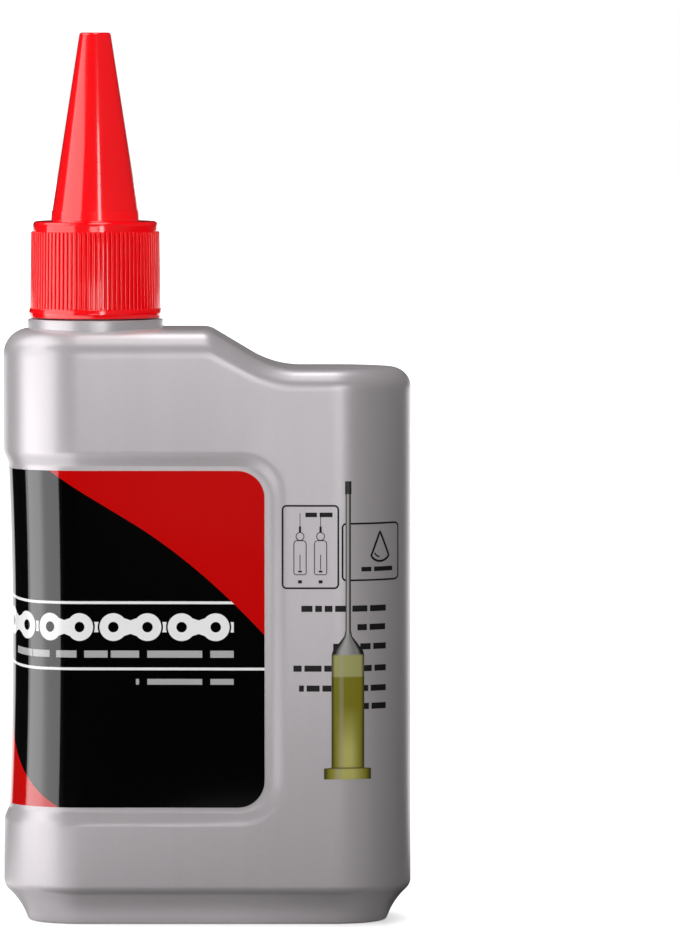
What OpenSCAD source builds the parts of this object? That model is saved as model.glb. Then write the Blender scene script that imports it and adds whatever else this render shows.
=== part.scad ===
// Flat squeeze bottle for chain lubricant, with an off-centre neck, a wrap label in a recessed panel,
// a pressed-in dripper spout and a ribbed screw cap whose long cone covers the spout.
// Millimetres. The origin is the bottom centre of the body, +Z is up and the front faces -Y.

/* [Body] */
// Width of the body along X
body_w = 63.7; // [61:0.1:80]
// Depth of the body along Y
body_d = 26; // [25:0.1:34]
// Radius of the rounded ends, seen from above
end_r = 12.4; // [11:0.1:12.9]
// Height of the shoulder beside the neck
shoulder_h = 92.7; // [86:0.1:110]
// Wall thickness of the body
wall = 1.1; // [0.8:0.05:1.4]
// Fillet between the high shoulder and the sides
high_fillet = 4.2; // [3:0.1:5]
// Fillet between the low shoulder and the sides
low_fillet = 3.2; // [2.5:0.1:5]

/* [Shoulder slope] */
// Height lost between the high and the low shoulder
slope_drop = 6.1; // [5:0.1:9]
// Distance from the neck axis to where the slope begins
slope_start = 16.8; // [15:0.1:18]
// Steepest angle of the slope
slope_angle = 31; // [28:1:38]
// Radius of the crest where the slope begins
slope_crest_r = 3.5; // [2:0.1:5]
// Radius of the hollow where the slope ends
slope_foot_r = 15; // [8:0.1:16]

/* [Foot] */
// Height at which the body begins to turn in
foot_h = 6.3; // [5:0.1:8]
// Radius of the edge where it turns in
foot_edge_r = 1.8; // [1:0.1:2.5]
// Steepest angle of the turn, from the vertical
foot_angle = 48; // [40:1:52]
// Angle of the cove where it meets the bottom edge
foot_end_angle = 20; // [10:1:25]
// Radius of the bottom edge
foot_bottom_r = 0.7; // [0.4:0.1:1]
// Width of the ring that the bottle stands on
foot_ring_w = 1.5; // [1:0.1:2]
// Height of the hollow under the base
base_hollow = 1.3; // [0.8:0.1:2]

/* [Label] */
// Height of the label's lower edge
label_z = 18.5; // [16:0.1:20]
// Height of the label
label_h = 52.4; // [40:0.1:56]
// Distance from the label's edge to the far end of the body
label_side = 22.8; // [20:0.1:26]
// Corner radius of the label
label_corner_r = 4.2; // [2:0.1:6]
// Thickness of the label
label_t = 0.18; // [0.1:0.01:0.3]
// Clearance between the label and the panel
label_gap = 0.06; // [0.05:0.01:0.1]

/* [Label panel] */
// Depth of the panel that the label lies in
panel_depth = 0.8; // [0.5:0.05:1]
// Extra depth of the panel's waist at mid height
panel_bow = 0.6; // [0:0.05:0.8]
// Width of the slope around the panel
panel_rim_w = 2.4; // [1.6:0.1:3]
// Bare floor beyond the label's side edge
panel_margin_x = 1.2; // [0.8:0.1:2]
// Bare floor above and below the label
panel_margin_z = 0.7; // [0.4:0.1:1.2]

/* [Neck] */
// Distance from the neck axis to the near end of the body
neck_from_end = 14.4; // [13.5:0.1:15]
// Outside radius of the neck at the thread's root
neck_r = 7.5; // [7.2:0.05:7.8]
// Radius of the neck's bore
neck_bore_r = 5.9; // [5.4:0.05:6.1]
// Radial height of the collar beyond the cap's bead
collar_out = 0.15; // [0:0.05:0.4]
// Height of the collar above the shoulder
collar_h = 1.4; // [1:0.1:2]
// Height of the neck above the collar
neck_h = 12.6; // [11:0.1:15]

/* [Thread] */
// Pitch of the thread
pitch = 3; // [2.8:0.1:3.4]
// Turns of the neck's ridge
thread_turns = 1.5; // [1.25:0.05:1.75]
// Radial height of the ridges
thread_depth = 0.9; // [0.7:0.05:0.95]
// Width of a ridge at its root
thread_w = 1.3; // [1:0.05:1.35]
// Radial clearance of the thread
thread_gap = 0.2; // [0.15:0.01:0.25]
// Height of the thread's start above the collar
thread_z = 3.4; // [3:0.1:4]

/* [Cap] */
// Wall of the cap between thread and rib roots
cap_wall = 1.3; // [1:0.05:1.6]
// Radial height of the grip ribs
rib_h = 0.3; // [0.2:0.05:0.45]
// Number of grip ribs
rib_count = 84; // [48:6:96]
// Height of the plain bead at the cap's lower edge
bead_h = 1.5; // [1:0.1:2]
// Radial height of the bead beyond the ribs
bead_out = 0.2; // [0.1:0.05:0.3]
// Height of the plain band above the ribs
cap_band_h = 1.6; // [1.2:0.1:2.5]
// Clearance between the cap's lower edge and the collar
cap_gap = 0.2; // [0.15:0.05:0.4]
// Thickness of the cap's roof
roof_t = 1.2; // [1:0.05:1.6]
// Radius of the edge around the cap's top
cap_edge_r = 0.7; // [0.4:0.05:0.9]
// Radius of the cone where it meets the roof
cone_r = 6.9; // [6.6:0.05:7.2]
// Radius of the cone at its tip
cone_tip_r = 2.4; // [2.2:0.05:2.8]
// Length of the cone above the roof
cone_h = 29.4; // [26:0.1:34]
// Wall of the cone
cone_wall = 0.9; // [0.7:0.05:1]
// Radius of the tip's edge
tip_edge_r = 0.5; // [0.3:0.05:0.6]

/* [Spout] */
// Depth of the plug in the neck
plug_h = 5; // [4:0.1:7]
// Wall of the plug
plug_wall = 1; // [0.8:0.05:1.2]
// Radial clearance of the plug in the neck's bore
plug_gap = 0.01; // [0.01:0.01:0.03]
// Distance from the flange's edge to the neck's outside
flange_in = 0.3; // [0.1:0.05:0.5]
// Thickness of the flange
flange_t = 0.8; // [0.6:0.05:1]
// Radius of the spout at its root
spout_r = 4.6; // [4.4:0.05:4.8]
// Radius of the spout at its tip
spout_tip_r = 1.35; // [1.25:0.05:1.45]
// Wall of the spout at its root
spout_wall = 0.9; // [0.7:0.05:1]
// Radius of the drip hole
drip_r = 0.55; // [0.4:0.05:0.6]
// Length of the drip hole
drip_l = 3; // [2.5:0.1:4]
// Clearance between the spout's tip and the cone's roof
tip_gap = 0.4; // [0.3:0.05:0.6]
// Radial clearance of the cap's stopper pin in the drip hole
pin_gap = 0.08; // [0.05:0.01:0.1]
// Length of the stopper pin in the drip hole
pin_l = 1.2; // [0.8:0.1:2]

/* [Washer] */
// Thickness of the sealing washer
washer_t = 0.6; // [0.4:0.05:1]
// Radial clearance of the washer in the cap
washer_gap = 0.1; // [0.05:0.01:0.2]
// Clearance above and below the washer
washer_play = 0.03; // [0.02:0.01:0.08]
// Radial clearance between the washer and the spout
washer_hole_gap = 0.5; // [0.3:0.05:0.8]

/* [Hidden] */
$fn = 96;
eps = 0.01;
overlap = 1;

// Small sizes that follow the process
ridge_steps = 24;
ridge_lead = 4;
ridge_flank = 0.7;
ridge_sunk = 0.2;
cap_turns = 1.25;
seat_gap = 0.02;
plug_lead = 0.3;
foot_wall_share = 1.2;
rib_sunk = 0.1;
rib_crest = [0.2, 0.5];
rib_groove = [0.75, 0.95];
cone_ring_h = 1.6;
cone_step = 0.1;
cone_wall_taper = 0.14;

// Places that follow from the sizes
half_w = body_w / 2;
half_d = body_d / 2;
flat_x = half_w - end_r;
flat_y = half_d - end_r;
neck_x = neck_from_end - half_w;
slope_x = neck_x + slope_start;
collar_top = shoulder_h + collar_h;
neck_top = collar_top + neck_h;
flange_top = neck_top + flange_t;
cap_bottom = collar_top + cap_gap;
roof_under = flange_top + washer_t + 2 * washer_play;
roof_top = roof_under + roof_t;
cap_top = roof_top + cone_h;
thread_r = neck_r + thread_depth;
cap_bore_r = thread_r + thread_gap;
rib_root_r = cap_bore_r + cap_wall;
rib_r = rib_root_r + rib_h;
bead_r = rib_r + bead_out;
collar_r = bead_r + collar_out;
flange_r = neck_r - flange_in;
spout_top = cap_top - cone_wall - tip_gap;

// The slope of the shoulder: a crest arc, a straight run and a foot arc
crest_x = slope_crest_r * sin(slope_angle);
crest_z = slope_crest_r * (1 - cos(slope_angle));
hollow_x = slope_foot_r * sin(slope_angle);
hollow_z = slope_foot_r * (1 - cos(slope_angle));
run_x = (slope_drop - crest_z - hollow_z) / tan(slope_angle);
slope_w = crest_x + run_x + hollow_x;

// Height lost at a distance u along the slope
function arc_drop(r, x) = r - sqrt(r * r - x * x);
function slope_z(u) =
    u <= 0 ? 0
    : u < crest_x ? arc_drop(slope_crest_r, u)
    : u < crest_x + run_x ? crest_z + (u - crest_x) * tan(slope_angle)
    : u < slope_w ? slope_drop - arc_drop(slope_foot_r, slope_w - u)
    : slope_drop;

function clamp01(t) = min(1, max(0, t));
function smooth(t) = let (c = clamp01(t)) c * c * (3 - 2 * c);
function mix(a, b, t) = a + (b - a) * t;

// Height of the shoulder's top surface, and its fillet, at a place x
function top_z(x) = shoulder_h - slope_z(x - slope_x);
function fillet_at(x) = mix(high_fillet, low_fillet, smooth((x - slope_x) / slope_w));

// The front half of the body's outline from above, from the far end (+X) to the near end (-X), as
// [x, y, normal x, normal y, distance along the outline from the near end]
end_steps = 9;
slope_steps = 18;
high_steps = 3;
function end_point(side, a, d) =
    [side * (flat_x + end_r * cos(a)), -flat_y - end_r * sin(a), side * cos(a), -sin(a), d];
end_arc = end_r * PI / 2;
near_arc = flat_y + end_arc;
flat_points = concat(
    [for (i = [slope_steps:-1:0]) slope_x + slope_w * i / slope_steps],
    [for (i = [high_steps - 1:-1:1]) mix(-flat_x, slope_x, i / high_steps)]);
front_columns = concat(
    [for (i = [0:end_steps]) let (a = 90 * i / end_steps)
        end_point(1, a, near_arc + 2 * flat_x + end_r * (90 - a) * PI / 180)],
    [for (x = flat_points) [x, -half_d, 0, -1, near_arc + x + flat_x]],
    [for (i = [end_steps:-1:0]) let (a = 90 * i / end_steps)
        end_point(-1, a, flat_y + end_r * a * PI / 180)]);
column_count = len(front_columns);
// The whole outline: the front half, and its mirror image at the back
columns = concat(
    front_columns,
    [for (i = [column_count - 1:-1:0]) let (c = front_columns[i]) [c[0], -c[1], c[2], -c[3], c[4]]]);

// The panel's floor, in distance along the outline from the near end, and in height
panel_edge_s = near_arc + 2 * flat_x - (label_side - end_r) + panel_margin_x;
panel_low = label_z - panel_margin_z;
panel_high = label_z + label_h + panel_margin_z;
panel_mid = (panel_low + panel_high) / 2;
panel_half = (panel_high - panel_low) / 2;
panel_corner_r = label_corner_r + panel_margin_z;

// Distance outside the panel's floor, which is a rounded rectangle that wraps the near end
function panel_distance(s, z) =
    let (
        dx = s - (panel_edge_s - panel_corner_r),
        dz = abs(z - panel_mid) - (panel_half - panel_corner_r))
    dx > 0 && dz > 0 ? norm([dx, dz]) - panel_corner_r : max(dx, dz) - panel_corner_r;

// Depth of the panel below the body's outline
function panel_inset(s, z) =
    let (
        sunk = 1 - smooth(panel_distance(s, z) / panel_rim_w),
        waist = clamp01(1 - pow((z - panel_mid) / panel_half, 2)),
        near = 1 - smooth(s / (panel_edge_s - panel_corner_r)))
    sunk * (panel_depth + panel_bow * waist * near);

// The foot from its top edge down to the ring it stands on, as [inset, height] pairs
foot_cove_r = (foot_h - foot_edge_r * sin(foot_angle) - foot_bottom_r * (1 - sin(foot_end_angle)))
    / (sin(foot_angle) - sin(foot_end_angle));
cove_top = [foot_edge_r * (1 - cos(foot_angle)), foot_h - foot_edge_r * sin(foot_angle)];
cove_bottom = cove_top + foot_cove_r
    * [cos(foot_end_angle) - cos(foot_angle), sin(foot_end_angle) - sin(foot_angle)];
function foot_profile(steps) = concat(
    [for (i = [0:steps]) let (a = foot_angle * i / steps)
        [foot_edge_r * (1 - cos(a)), foot_h - foot_edge_r * sin(a)]],
    [for (i = [1:steps + 1]) let (a = mix(foot_angle, foot_end_angle, i / (steps + 1)))
        cove_top + foot_cove_r * [cos(a) - cos(foot_angle), sin(a) - sin(foot_angle)]],
    [for (i = [1:steps]) let (a = mix(foot_end_angle, 90, i / steps))
        cove_bottom + foot_bottom_r * [cos(foot_end_angle) - cos(a), sin(foot_end_angle) - sin(a)]]);
ring_inset = cove_bottom[0] + foot_bottom_r * cos(foot_end_angle) + foot_ring_w;

// A point of the body's surface under column c, sunk by an inset
function body_point(c, inset, z) = [c[0] - c[2] * inset, c[1] - c[3] * inset, z];

// Heights of the rings between the foot and the shoulder
function spread(a, b, n) = [for (i = [1:n]) mix(a, b, i / n)];
function corner_rise(steps) = [for (i = [1:steps]) panel_corner_r * (1 - cos(90 * i / steps))];
function wall_heights(rim_steps, corner_steps, waist_steps) =
    let (rise = corner_rise(corner_steps), last = corner_steps - 1)
    concat(
        [panel_low - panel_rim_w],
        spread(panel_low - panel_rim_w, panel_low, rim_steps),
        [for (r = rise) panel_low + r],
        spread(panel_low + panel_corner_r, panel_high - panel_corner_r, waist_steps),
        [for (i = [last - 1:-1:0]) panel_high - rise[i]],
        [panel_high],
        spread(panel_high, panel_high + panel_rim_w, rim_steps));

// Rings of the body's surface, or of one that lies a skin's thickness inside it, from the bottom up
function base_rings() = [
    [for (c = columns) body_point(c, ring_inset + base_hollow, base_hollow)],
    [for (c = columns) body_point(c, ring_inset, 0)]];
function foot_rings(steps) = let (profile = foot_profile(steps))
    [for (k = [len(profile) - 1:-1:0]) [for (c = columns) body_point(c, profile[k][0], profile[k][1])]];
function wall_rings(skin, rim_steps, corner_steps, waist_steps) =
    [for (z = wall_heights(rim_steps, corner_steps, waist_steps))
        [for (c = columns) body_point(c, panel_inset(c[4], z) + skin, z)]];
function shoulder_rings(skin, steps) =
    [for (k = [0:steps]) let (a = 90 * k / steps)
        [for (c = columns) let (r = fillet_at(c[0]) - skin)
            body_point(c, skin + r * (1 - cos(a)), top_z(c[0]) - skin - r * (1 - sin(a)))]];

// Rings of the cavity over the foot, which rise from a flat floor above the hollow under the base
foot_table = let (profile = foot_profile(3))
    [for (k = [len(profile) - 1:-1:0]) [profile[k][1], profile[k][0]]];
floor_z = base_hollow + wall;
function floor_rings() =
    [for (z = concat([floor_z], spread(floor_z, foot_h + wall, 3)))
        [for (c = columns) body_point(c, lookup(z, foot_table) + wall * foot_wall_share, z)]];

// The outline from above at a distance s from the near end, positive at the front, as
// [x, y, normal x, normal y, distance]
function outline_at(s) =
    let (d = abs(s), side = s < 0 ? 1 : -1, a = (d - flat_y) / end_r * 180 / PI)
    d <= flat_y ? [-half_w, side * d, -1, 0, d]
    : d <= near_arc
        ? [-flat_x - end_r * cos(a), side * (flat_y + end_r * sin(a)), -cos(a), side * sin(a), d]
    : [d - near_arc - flat_x, side * half_d, 0, side, d];

// Rows of the label from the bottom up, each as [height, reach along the outline], with rounded corners
label_edge_s = panel_edge_s - panel_margin_x;
label_corner_steps = 5;
label_waist_steps = 6;
function label_corner(i) = let (a = 90 * i / label_corner_steps)
    [label_corner_r * (1 - sin(a)), label_corner_r * (1 - cos(a))];
label_rows = concat(
    [for (i = [label_corner_steps:-1:0]) let (c = label_corner(i))
        [label_z + c[0], label_edge_s - c[1]]],
    [for (z = spread(label_z + label_corner_r, label_z + label_h - label_corner_r, label_waist_steps))
        [z, label_edge_s]],
    [for (i = [1:label_corner_steps]) let (c = label_corner(i))
        [label_z + label_h - c[0], label_edge_s - c[1]]]);
label_flat_steps = 5;
function label_half(reach) = concat(
    [0, flat_y],
    [for (i = [1:end_steps]) flat_y + end_arc * i / end_steps],
    [for (i = [1:label_flat_steps]) mix(near_arc, reach, i / label_flat_steps)]);
function label_row(reach) = let (h = label_half(reach), n = len(h))
    concat([for (i = [n - 1:-1:1]) h[i]], [for (i = [0:n - 1]) -h[i]]);
function label_rings(lift) =
    [for (row = label_rows) [for (s = label_row(row[1])) let (c = outline_at(s))
        body_point(c, panel_inset(c[4], row[0]) - lift, row[0])]];

// A closed solid from rings of equal length, whose first and last rings are closed by strips across
module ring_solid(rings) {
    n = len(rings[0]);
    m = len(rings);
    half = n / 2;
    points = [for (ring = rings) each ring];
    sides = [for (k = [0:m - 2]) for (j = [0:n - 1]) let (a = k * n + j, b = k * n + (j + 1) % n)
        each [[a, b, a + n], [b, b + n, a + n]]];
    lids = [for (j = [0:half - 2]) let (p = j, q = j + 1, r = n - 1 - q, s = n - 1 - p, t = (m - 1) * n)
        each [[p, r, q], [p, s, r], [t + p, t + q, t + r], [t + p, t + r, t + s]]];
    polyhedron(points = points, faces = concat(sides, lids), convexity = 6);
}

// A screw thread's ridge around the Z axis, with its root at root_r and its crest at crest_r
module ridge(root_r, crest_r, turns, start_z) {
    n = ceil(turns * ridge_steps);
    root_w = thread_w / 2;
    crest_w = root_w - thread_depth * ridge_flank / 2;
    points = [for (i = [0:n]) let (
            a = 360 * turns * i / n,
            z = start_z + pitch * turns * i / n,
            crest = mix(root_r, crest_r, clamp01((min(i, n - i) + 1) / ridge_lead)))
        for (p = [[root_r, -root_w], [crest, -crest_w], [crest, crest_w], [root_r, root_w]])
            [p[0] * cos(a), p[0] * sin(a), z + p[1]]];
    sides = [for (i = [0:n - 1]) for (k = [0:3]) let (a = i * 4 + k, b = i * 4 + (k + 1) % 4)
        each [[a, b, a + 4], [b, b + 4, a + 4]]];
    ends = [[0, 3, 2, 1], [n * 4, n * 4 + 1, n * 4 + 2, n * 4 + 3]];
    outward = concat(sides, ends);
    inward = [for (f = outward) [for (i = [len(f) - 1:-1:0]) f[i]]];
    polyhedron(points = points, faces = crest_r > root_r ? outward : inward, convexity = 6);
}

// A tube around the Z axis
module tube(outer_r, inner_r, z, h) {
    translate([0, 0, z])
        difference() {
            cylinder(r = outer_r, h = h);
            translate([0, 0, -overlap])
                cylinder(r = inner_r, h = h + 2 * overlap);
        }
}

// The blow-moulded bottle: body, collar and threaded neck in one piece
module bottle() {
    outer = concat(base_rings(), foot_rings(3), wall_rings(0, 5, 5, 5), shoulder_rings(0, 6));
    inner = concat(floor_rings(), wall_rings(wall, 3, 2, 3), shoulder_rings(wall, 4));
    color("silver")
        difference() {
            union() {
                ring_solid(outer);
                translate([neck_x, 0, shoulder_h - overlap]) {
                    cylinder(r = collar_r, h = collar_h + overlap);
                    cylinder(r = neck_r, h = neck_top - shoulder_h + overlap);
                }
                translate([neck_x, 0, collar_top])
                    ridge(neck_r - ridge_sunk, thread_r, thread_turns, thread_z);
            }
            ring_solid(inner);
            translate([neck_x, 0, shoulder_h - wall - overlap])
                cylinder(r = neck_bore_r, h = neck_top - shoulder_h + wall + 2 * overlap);
        }
}

// The thin wrap label, from the front around the near end to the back
module wrap_label() {
    low = label_rings(label_gap);
    high = label_rings(label_gap + label_t);
    n = len(low[0]);
    m = len(low);
    points = concat([for (row = low) each row], [for (row = high) each row]);
    t = n * m;
    faces = concat(
        [for (k = [0:m - 2]) for (j = [0:n - 2]) let (a = k * n + j, b = a + 1)
            each [[a, a + n, b], [b, a + n, b + n],
                [t + a, t + b, t + a + n], [t + b, t + b + n, t + a + n]]],
        [for (k = [0:m - 2]) let (a = k * n, b = k * n + n - 1)
            each [[a, t + a, a + n], [t + a, t + a + n, a + n],
                [b, b + n, t + b], [t + b, b + n, t + b + n]]],
        [for (j = [0:n - 2]) let (a = j, b = (m - 1) * n + j)
            each [[a, a + 1, t + a], [t + a, a + 1, t + a + 1],
                [b, t + b, b + 1], [t + b, t + b + 1, b + 1]]]);
    color("firebrick")
        polyhedron(points = points, faces = faces, convexity = 6);
}

// The dripper spout: a plug in the neck, a flange on its rim and a tapered spout with a drip hole
module dripper_spout() {
    plug_r = neck_bore_r - plug_gap;
    plug_low = neck_top - plug_h;
    hole_low = spout_top - drip_l;
    color("ivory")
        translate([neck_x, 0, 0])
            rotate_extrude()
                polygon([
                    [plug_r - plug_wall, plug_low], [plug_r - plug_lead, plug_low],
                    [plug_r, plug_low + plug_lead * 2], [plug_r, neck_top + seat_gap],
                    [flange_r, neck_top + seat_gap], [flange_r, flange_top],
                    [spout_r, flange_top], [spout_tip_r, spout_top], [drip_r, spout_top],
                    [drip_r, hole_low], [spout_r - spout_wall, flange_top],
                    [plug_r - plug_wall, neck_top - plug_wall]]);
}

// The sealing washer, held in the cap between its roof and the spout's flange
module sealing_washer() {
    color("gainsboro")
        translate([neck_x, 0, 0])
            tube(cap_bore_r - washer_gap, spout_r + washer_hole_gap, flange_top + washer_play, washer_t);
}

// The outline of the ribbed grip, seen from above
module rib_outline() {
    tooth = 360 / rib_count;
    root_r = rib_root_r - rib_sunk;
    corners = concat([for (t = rib_crest) [t, rib_r]], [for (t = rib_groove) [t, root_r]]);
    polygon([for (i = [0:rib_count - 1]) for (p = corners)
        p[1] * [cos(tooth * (i + p[0])), sin(tooth * (i + p[0]))]]);
}

// The screw cap: threaded skirt with ribs, roof, and the long cone that covers the spout
module nozzle_cap() {
    rib_low = cap_bottom + bead_h;
    rib_high = roof_top - cap_band_h;
    edge_x = rib_root_r - cap_edge_r;
    edge_z = roof_top - cap_edge_r;
    ring_r = cone_r - cone_step;
    tip_x = cone_tip_r - tip_edge_r;
    tip_z = cap_top - tip_edge_r;
    bevel = bead_out / 2;
    outside = concat(
        [[0, cap_bottom], [bead_r - bevel, cap_bottom], [bead_r, cap_bottom + bevel],
            [bead_r, rib_low - bevel], [bead_r - bevel, rib_low], [rib_root_r, rib_low],
            [rib_root_r, edge_z]],
        [for (a = [15:15:90]) [edge_x + cap_edge_r * cos(a), edge_z + cap_edge_r * sin(a)]],
        [[cone_r, roof_top], [ring_r, roof_top + cone_ring_h],
            [ring_r - cone_step, roof_top + cone_ring_h]],
        [for (a = [0:18:90]) [tip_x + tip_edge_r * cos(a), tip_z + tip_edge_r * sin(a)]],
        [[0, cap_top]]);
    color("red")
        translate([neck_x, 0, 0]) {
            difference() {
                union() {
                    rotate_extrude()
                        polygon(outside);
                    translate([0, 0, rib_low - eps])
                        linear_extrude(rib_high - rib_low + eps)
                            rib_outline();
                }
                translate([0, 0, cap_bottom - overlap])
                    cylinder(r = cap_bore_r, h = roof_under - cap_bottom + overlap);
                translate([0, 0, roof_under - eps])
                    cylinder(r1 = cone_r - cone_wall, r2 = cone_tip_r - cone_wall + cone_wall_taper,
                        h = cap_top - cone_wall - roof_under + eps);
            }
            translate([0, 0, spout_top - pin_l])
                cylinder(r = drip_r - pin_gap, h = cap_top - cone_wall / 2 - spout_top + pin_l);
            translate([0, 0, collar_top])
                ridge(cap_bore_r + ridge_sunk, neck_r + thread_gap, cap_turns, thread_z - pitch / 2);
        }
}

bottle();
wrap_label();
dripper_spout();
sealing_washer();
nozzle_cap();
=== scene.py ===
"""Looks of a flat silver squeeze bottle for chain lubricant with a red nozzle cap.

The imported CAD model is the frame: it gives every place and size. This file builds
the visible pieces around it in metres, +Z up and the front facing -Y, dresses them
with procedural finishes and sets up a plain studio. Sizes of the pieces are written
in millimetres, and those of the studio in metres.
"""

from __future__ import annotations

import logging
import math
import random
from dataclasses import dataclass
from enum import Enum
from typing import Any, Iterable, Sequence

import bpy
import numpy as np
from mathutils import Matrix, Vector

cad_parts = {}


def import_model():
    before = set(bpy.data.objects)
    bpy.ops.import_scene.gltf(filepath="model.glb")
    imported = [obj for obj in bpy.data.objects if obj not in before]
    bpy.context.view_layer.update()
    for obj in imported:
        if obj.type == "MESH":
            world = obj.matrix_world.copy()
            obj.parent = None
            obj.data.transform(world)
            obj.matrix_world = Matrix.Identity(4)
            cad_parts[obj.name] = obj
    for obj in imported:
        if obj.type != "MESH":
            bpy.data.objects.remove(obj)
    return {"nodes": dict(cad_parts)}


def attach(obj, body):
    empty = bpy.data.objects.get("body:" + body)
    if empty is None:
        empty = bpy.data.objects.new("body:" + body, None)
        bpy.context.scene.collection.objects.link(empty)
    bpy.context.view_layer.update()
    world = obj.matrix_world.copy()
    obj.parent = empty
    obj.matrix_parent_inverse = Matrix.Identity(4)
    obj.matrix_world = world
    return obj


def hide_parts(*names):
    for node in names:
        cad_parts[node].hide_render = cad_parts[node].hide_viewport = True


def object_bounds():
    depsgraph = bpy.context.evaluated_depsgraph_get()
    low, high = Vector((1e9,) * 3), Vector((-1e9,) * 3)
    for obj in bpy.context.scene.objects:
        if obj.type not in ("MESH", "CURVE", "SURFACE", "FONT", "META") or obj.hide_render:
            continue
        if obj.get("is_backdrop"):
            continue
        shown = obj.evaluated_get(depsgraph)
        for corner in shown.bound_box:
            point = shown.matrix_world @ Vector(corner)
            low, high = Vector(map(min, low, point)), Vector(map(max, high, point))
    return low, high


LOG = logging.getLogger("chain_lube_bottle")
MM = 0.001
QUARTER = math.pi / 2
ON_AXIS = 1e-9
FILM_MAP = "Film"
MAP_SCALE = 100

Array = np.ndarray
Links = dict[str | int, Any]
Colour = tuple[float, float, float, float]
Point = tuple[float, float]
Face = Sequence[int]
Slab = tuple[Array, list[Face], Array]


# Small mathematics and mesh making


def smooth(t: Array | float) -> Array:
    """Smooth step of t, which is held between 0 and 1."""
    c = np.clip(t, 0.0, 1.0)
    return c * c * (3.0 - 2.0 * c)


def mix(a: Array | float, b: Array | float, t: Array | float) -> Array | float:
    """Value at the share t of the way from a to b."""
    return a + (b - a) * t


def arc(centre: Point, radius: float, start: float, end: float, steps: int) -> list[Point]:
    """Points along a circular arc from one angle to another, in degrees."""
    angles = np.radians(np.linspace(start, end, steps + 1))
    return [(centre[0] + radius * math.cos(a), centre[1] + radius * math.sin(a)) for a in angles]


def sides(rings: int, n: int) -> list[Face]:
    """Faces between neighbouring rings of points.

    Args:
        rings: Number of rings.
        n: Points in each ring.

    Returns:
        The faces, which also join each ring's last point to its first.
    """
    return [
        (k * n + j, k * n + (j + 1) % n, (k + 1) * n + (j + 1) % n, (k + 1) * n + j)
        for k in range(rings - 1)
        for j in range(n)
    ]


def tube(rings: int, n: int) -> list[Face]:
    """Faces of a closed tube: its sides, and a lid on its first and last ring."""
    last = (rings - 1) * n
    return [*sides(rings, n), tuple(reversed(range(n))), tuple(last + j for j in range(n))]


def linked(name: str, data: Any) -> Any:
    """Makes a new object of the scene.

    Args:
        name: Name of the object.
        data: Its data, such as a mesh, lamp or camera.

    Returns:
        The object.
    """
    thing = bpy.data.objects.new(name, data)
    bpy.context.scene.collection.objects.link(thing)
    return thing


def new_mesh(name: str, points: Array, faces: Iterable[Face]) -> Any:
    """A mesh object at the origin from points in millimetres.

    Args:
        name: Name of the object and its mesh.
        points: Points in millimetres, one row each.
        faces: Corner numbers of each face, turning outwards.

    Returns:
        The linked mesh object, shaded smooth.
    """
    mesh = bpy.data.meshes.new(name)
    verts = (np.asarray(points, float) * MM).tolist()
    mesh.from_pydata(verts, [], [list(map(int, f)) for f in faces])
    mesh.validate()
    mesh.shade_smooth()
    return linked(name, mesh)


def bake_modifiers(piece: Any) -> None:
    """Replaces a piece's mesh by its evaluated one and drops its modifiers.

    Args:
        piece: The piece.
    """
    graph = bpy.context.evaluated_depsgraph_get()
    mesh = bpy.data.meshes.new_from_object(piece.evaluated_get(graph))
    piece.modifiers.clear()
    piece.data = mesh


class Cut(Enum):
    """The ways in which one closed shape changes another."""

    ADD = "UNION"
    TAKE = "DIFFERENCE"


def carve(piece: Any, tool: Any, cut: Cut) -> None:
    """Adds a closed shape to a piece, or takes it away, and drops the shape.

    The exact solver gives the same mesh each run, which the faster one doesn't.

    Args:
        piece: The piece that changes.
        tool: The shape that is added or taken away.
        cut: Which of the two it is.
    """
    boolean = piece.modifiers.new("carve", "BOOLEAN")
    boolean.operation = cut.value
    boolean.solver = "EXACT"
    boolean.object = tool
    bake_modifiers(piece)
    bpy.data.objects.remove(tool, do_unlink=True)


def sharpen(piece: Any, degrees: float) -> None:
    """Shades a piece smooth, with creases where its faces meet above an angle."""
    piece.data.shade_smooth()
    piece.data.set_sharp_from_angle(angle=math.radians(degrees))


def lathe(name: str, profile: Sequence[Point], axis_x: float, steps: int) -> Any:
    """A closed shape of revolution around a vertical axis.

    Args:
        name: Name of the object.
        profile: (radius, height) pairs from the axis back to the axis, with the
            material on the left of the way along them.
        axis_x: Place of the axis along X.
        steps: Number of segments around.

    Returns:
        The mesh object.
    """
    points: list[tuple[float, float, float]] = []
    rings: list[list[int]] = []
    for radius, height in profile:
        count = 1 if radius < ON_AXIS else steps
        rings.append([len(points) + k % count for k in range(steps)])
        for k in range(count):
            a = 2 * math.pi * k / steps
            points.append((axis_x + radius * math.cos(a), radius * math.sin(a), height))
    faces: list[Face] = []
    for low, high in zip(rings, rings[1:]):
        for k in range(steps):
            n = (k + 1) % steps
            face = list(dict.fromkeys((low[k], low[n], high[n], high[k])))
            if len(face) > 2:
                faces.append(face)
    return new_mesh(name, np.array(points), faces)


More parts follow.
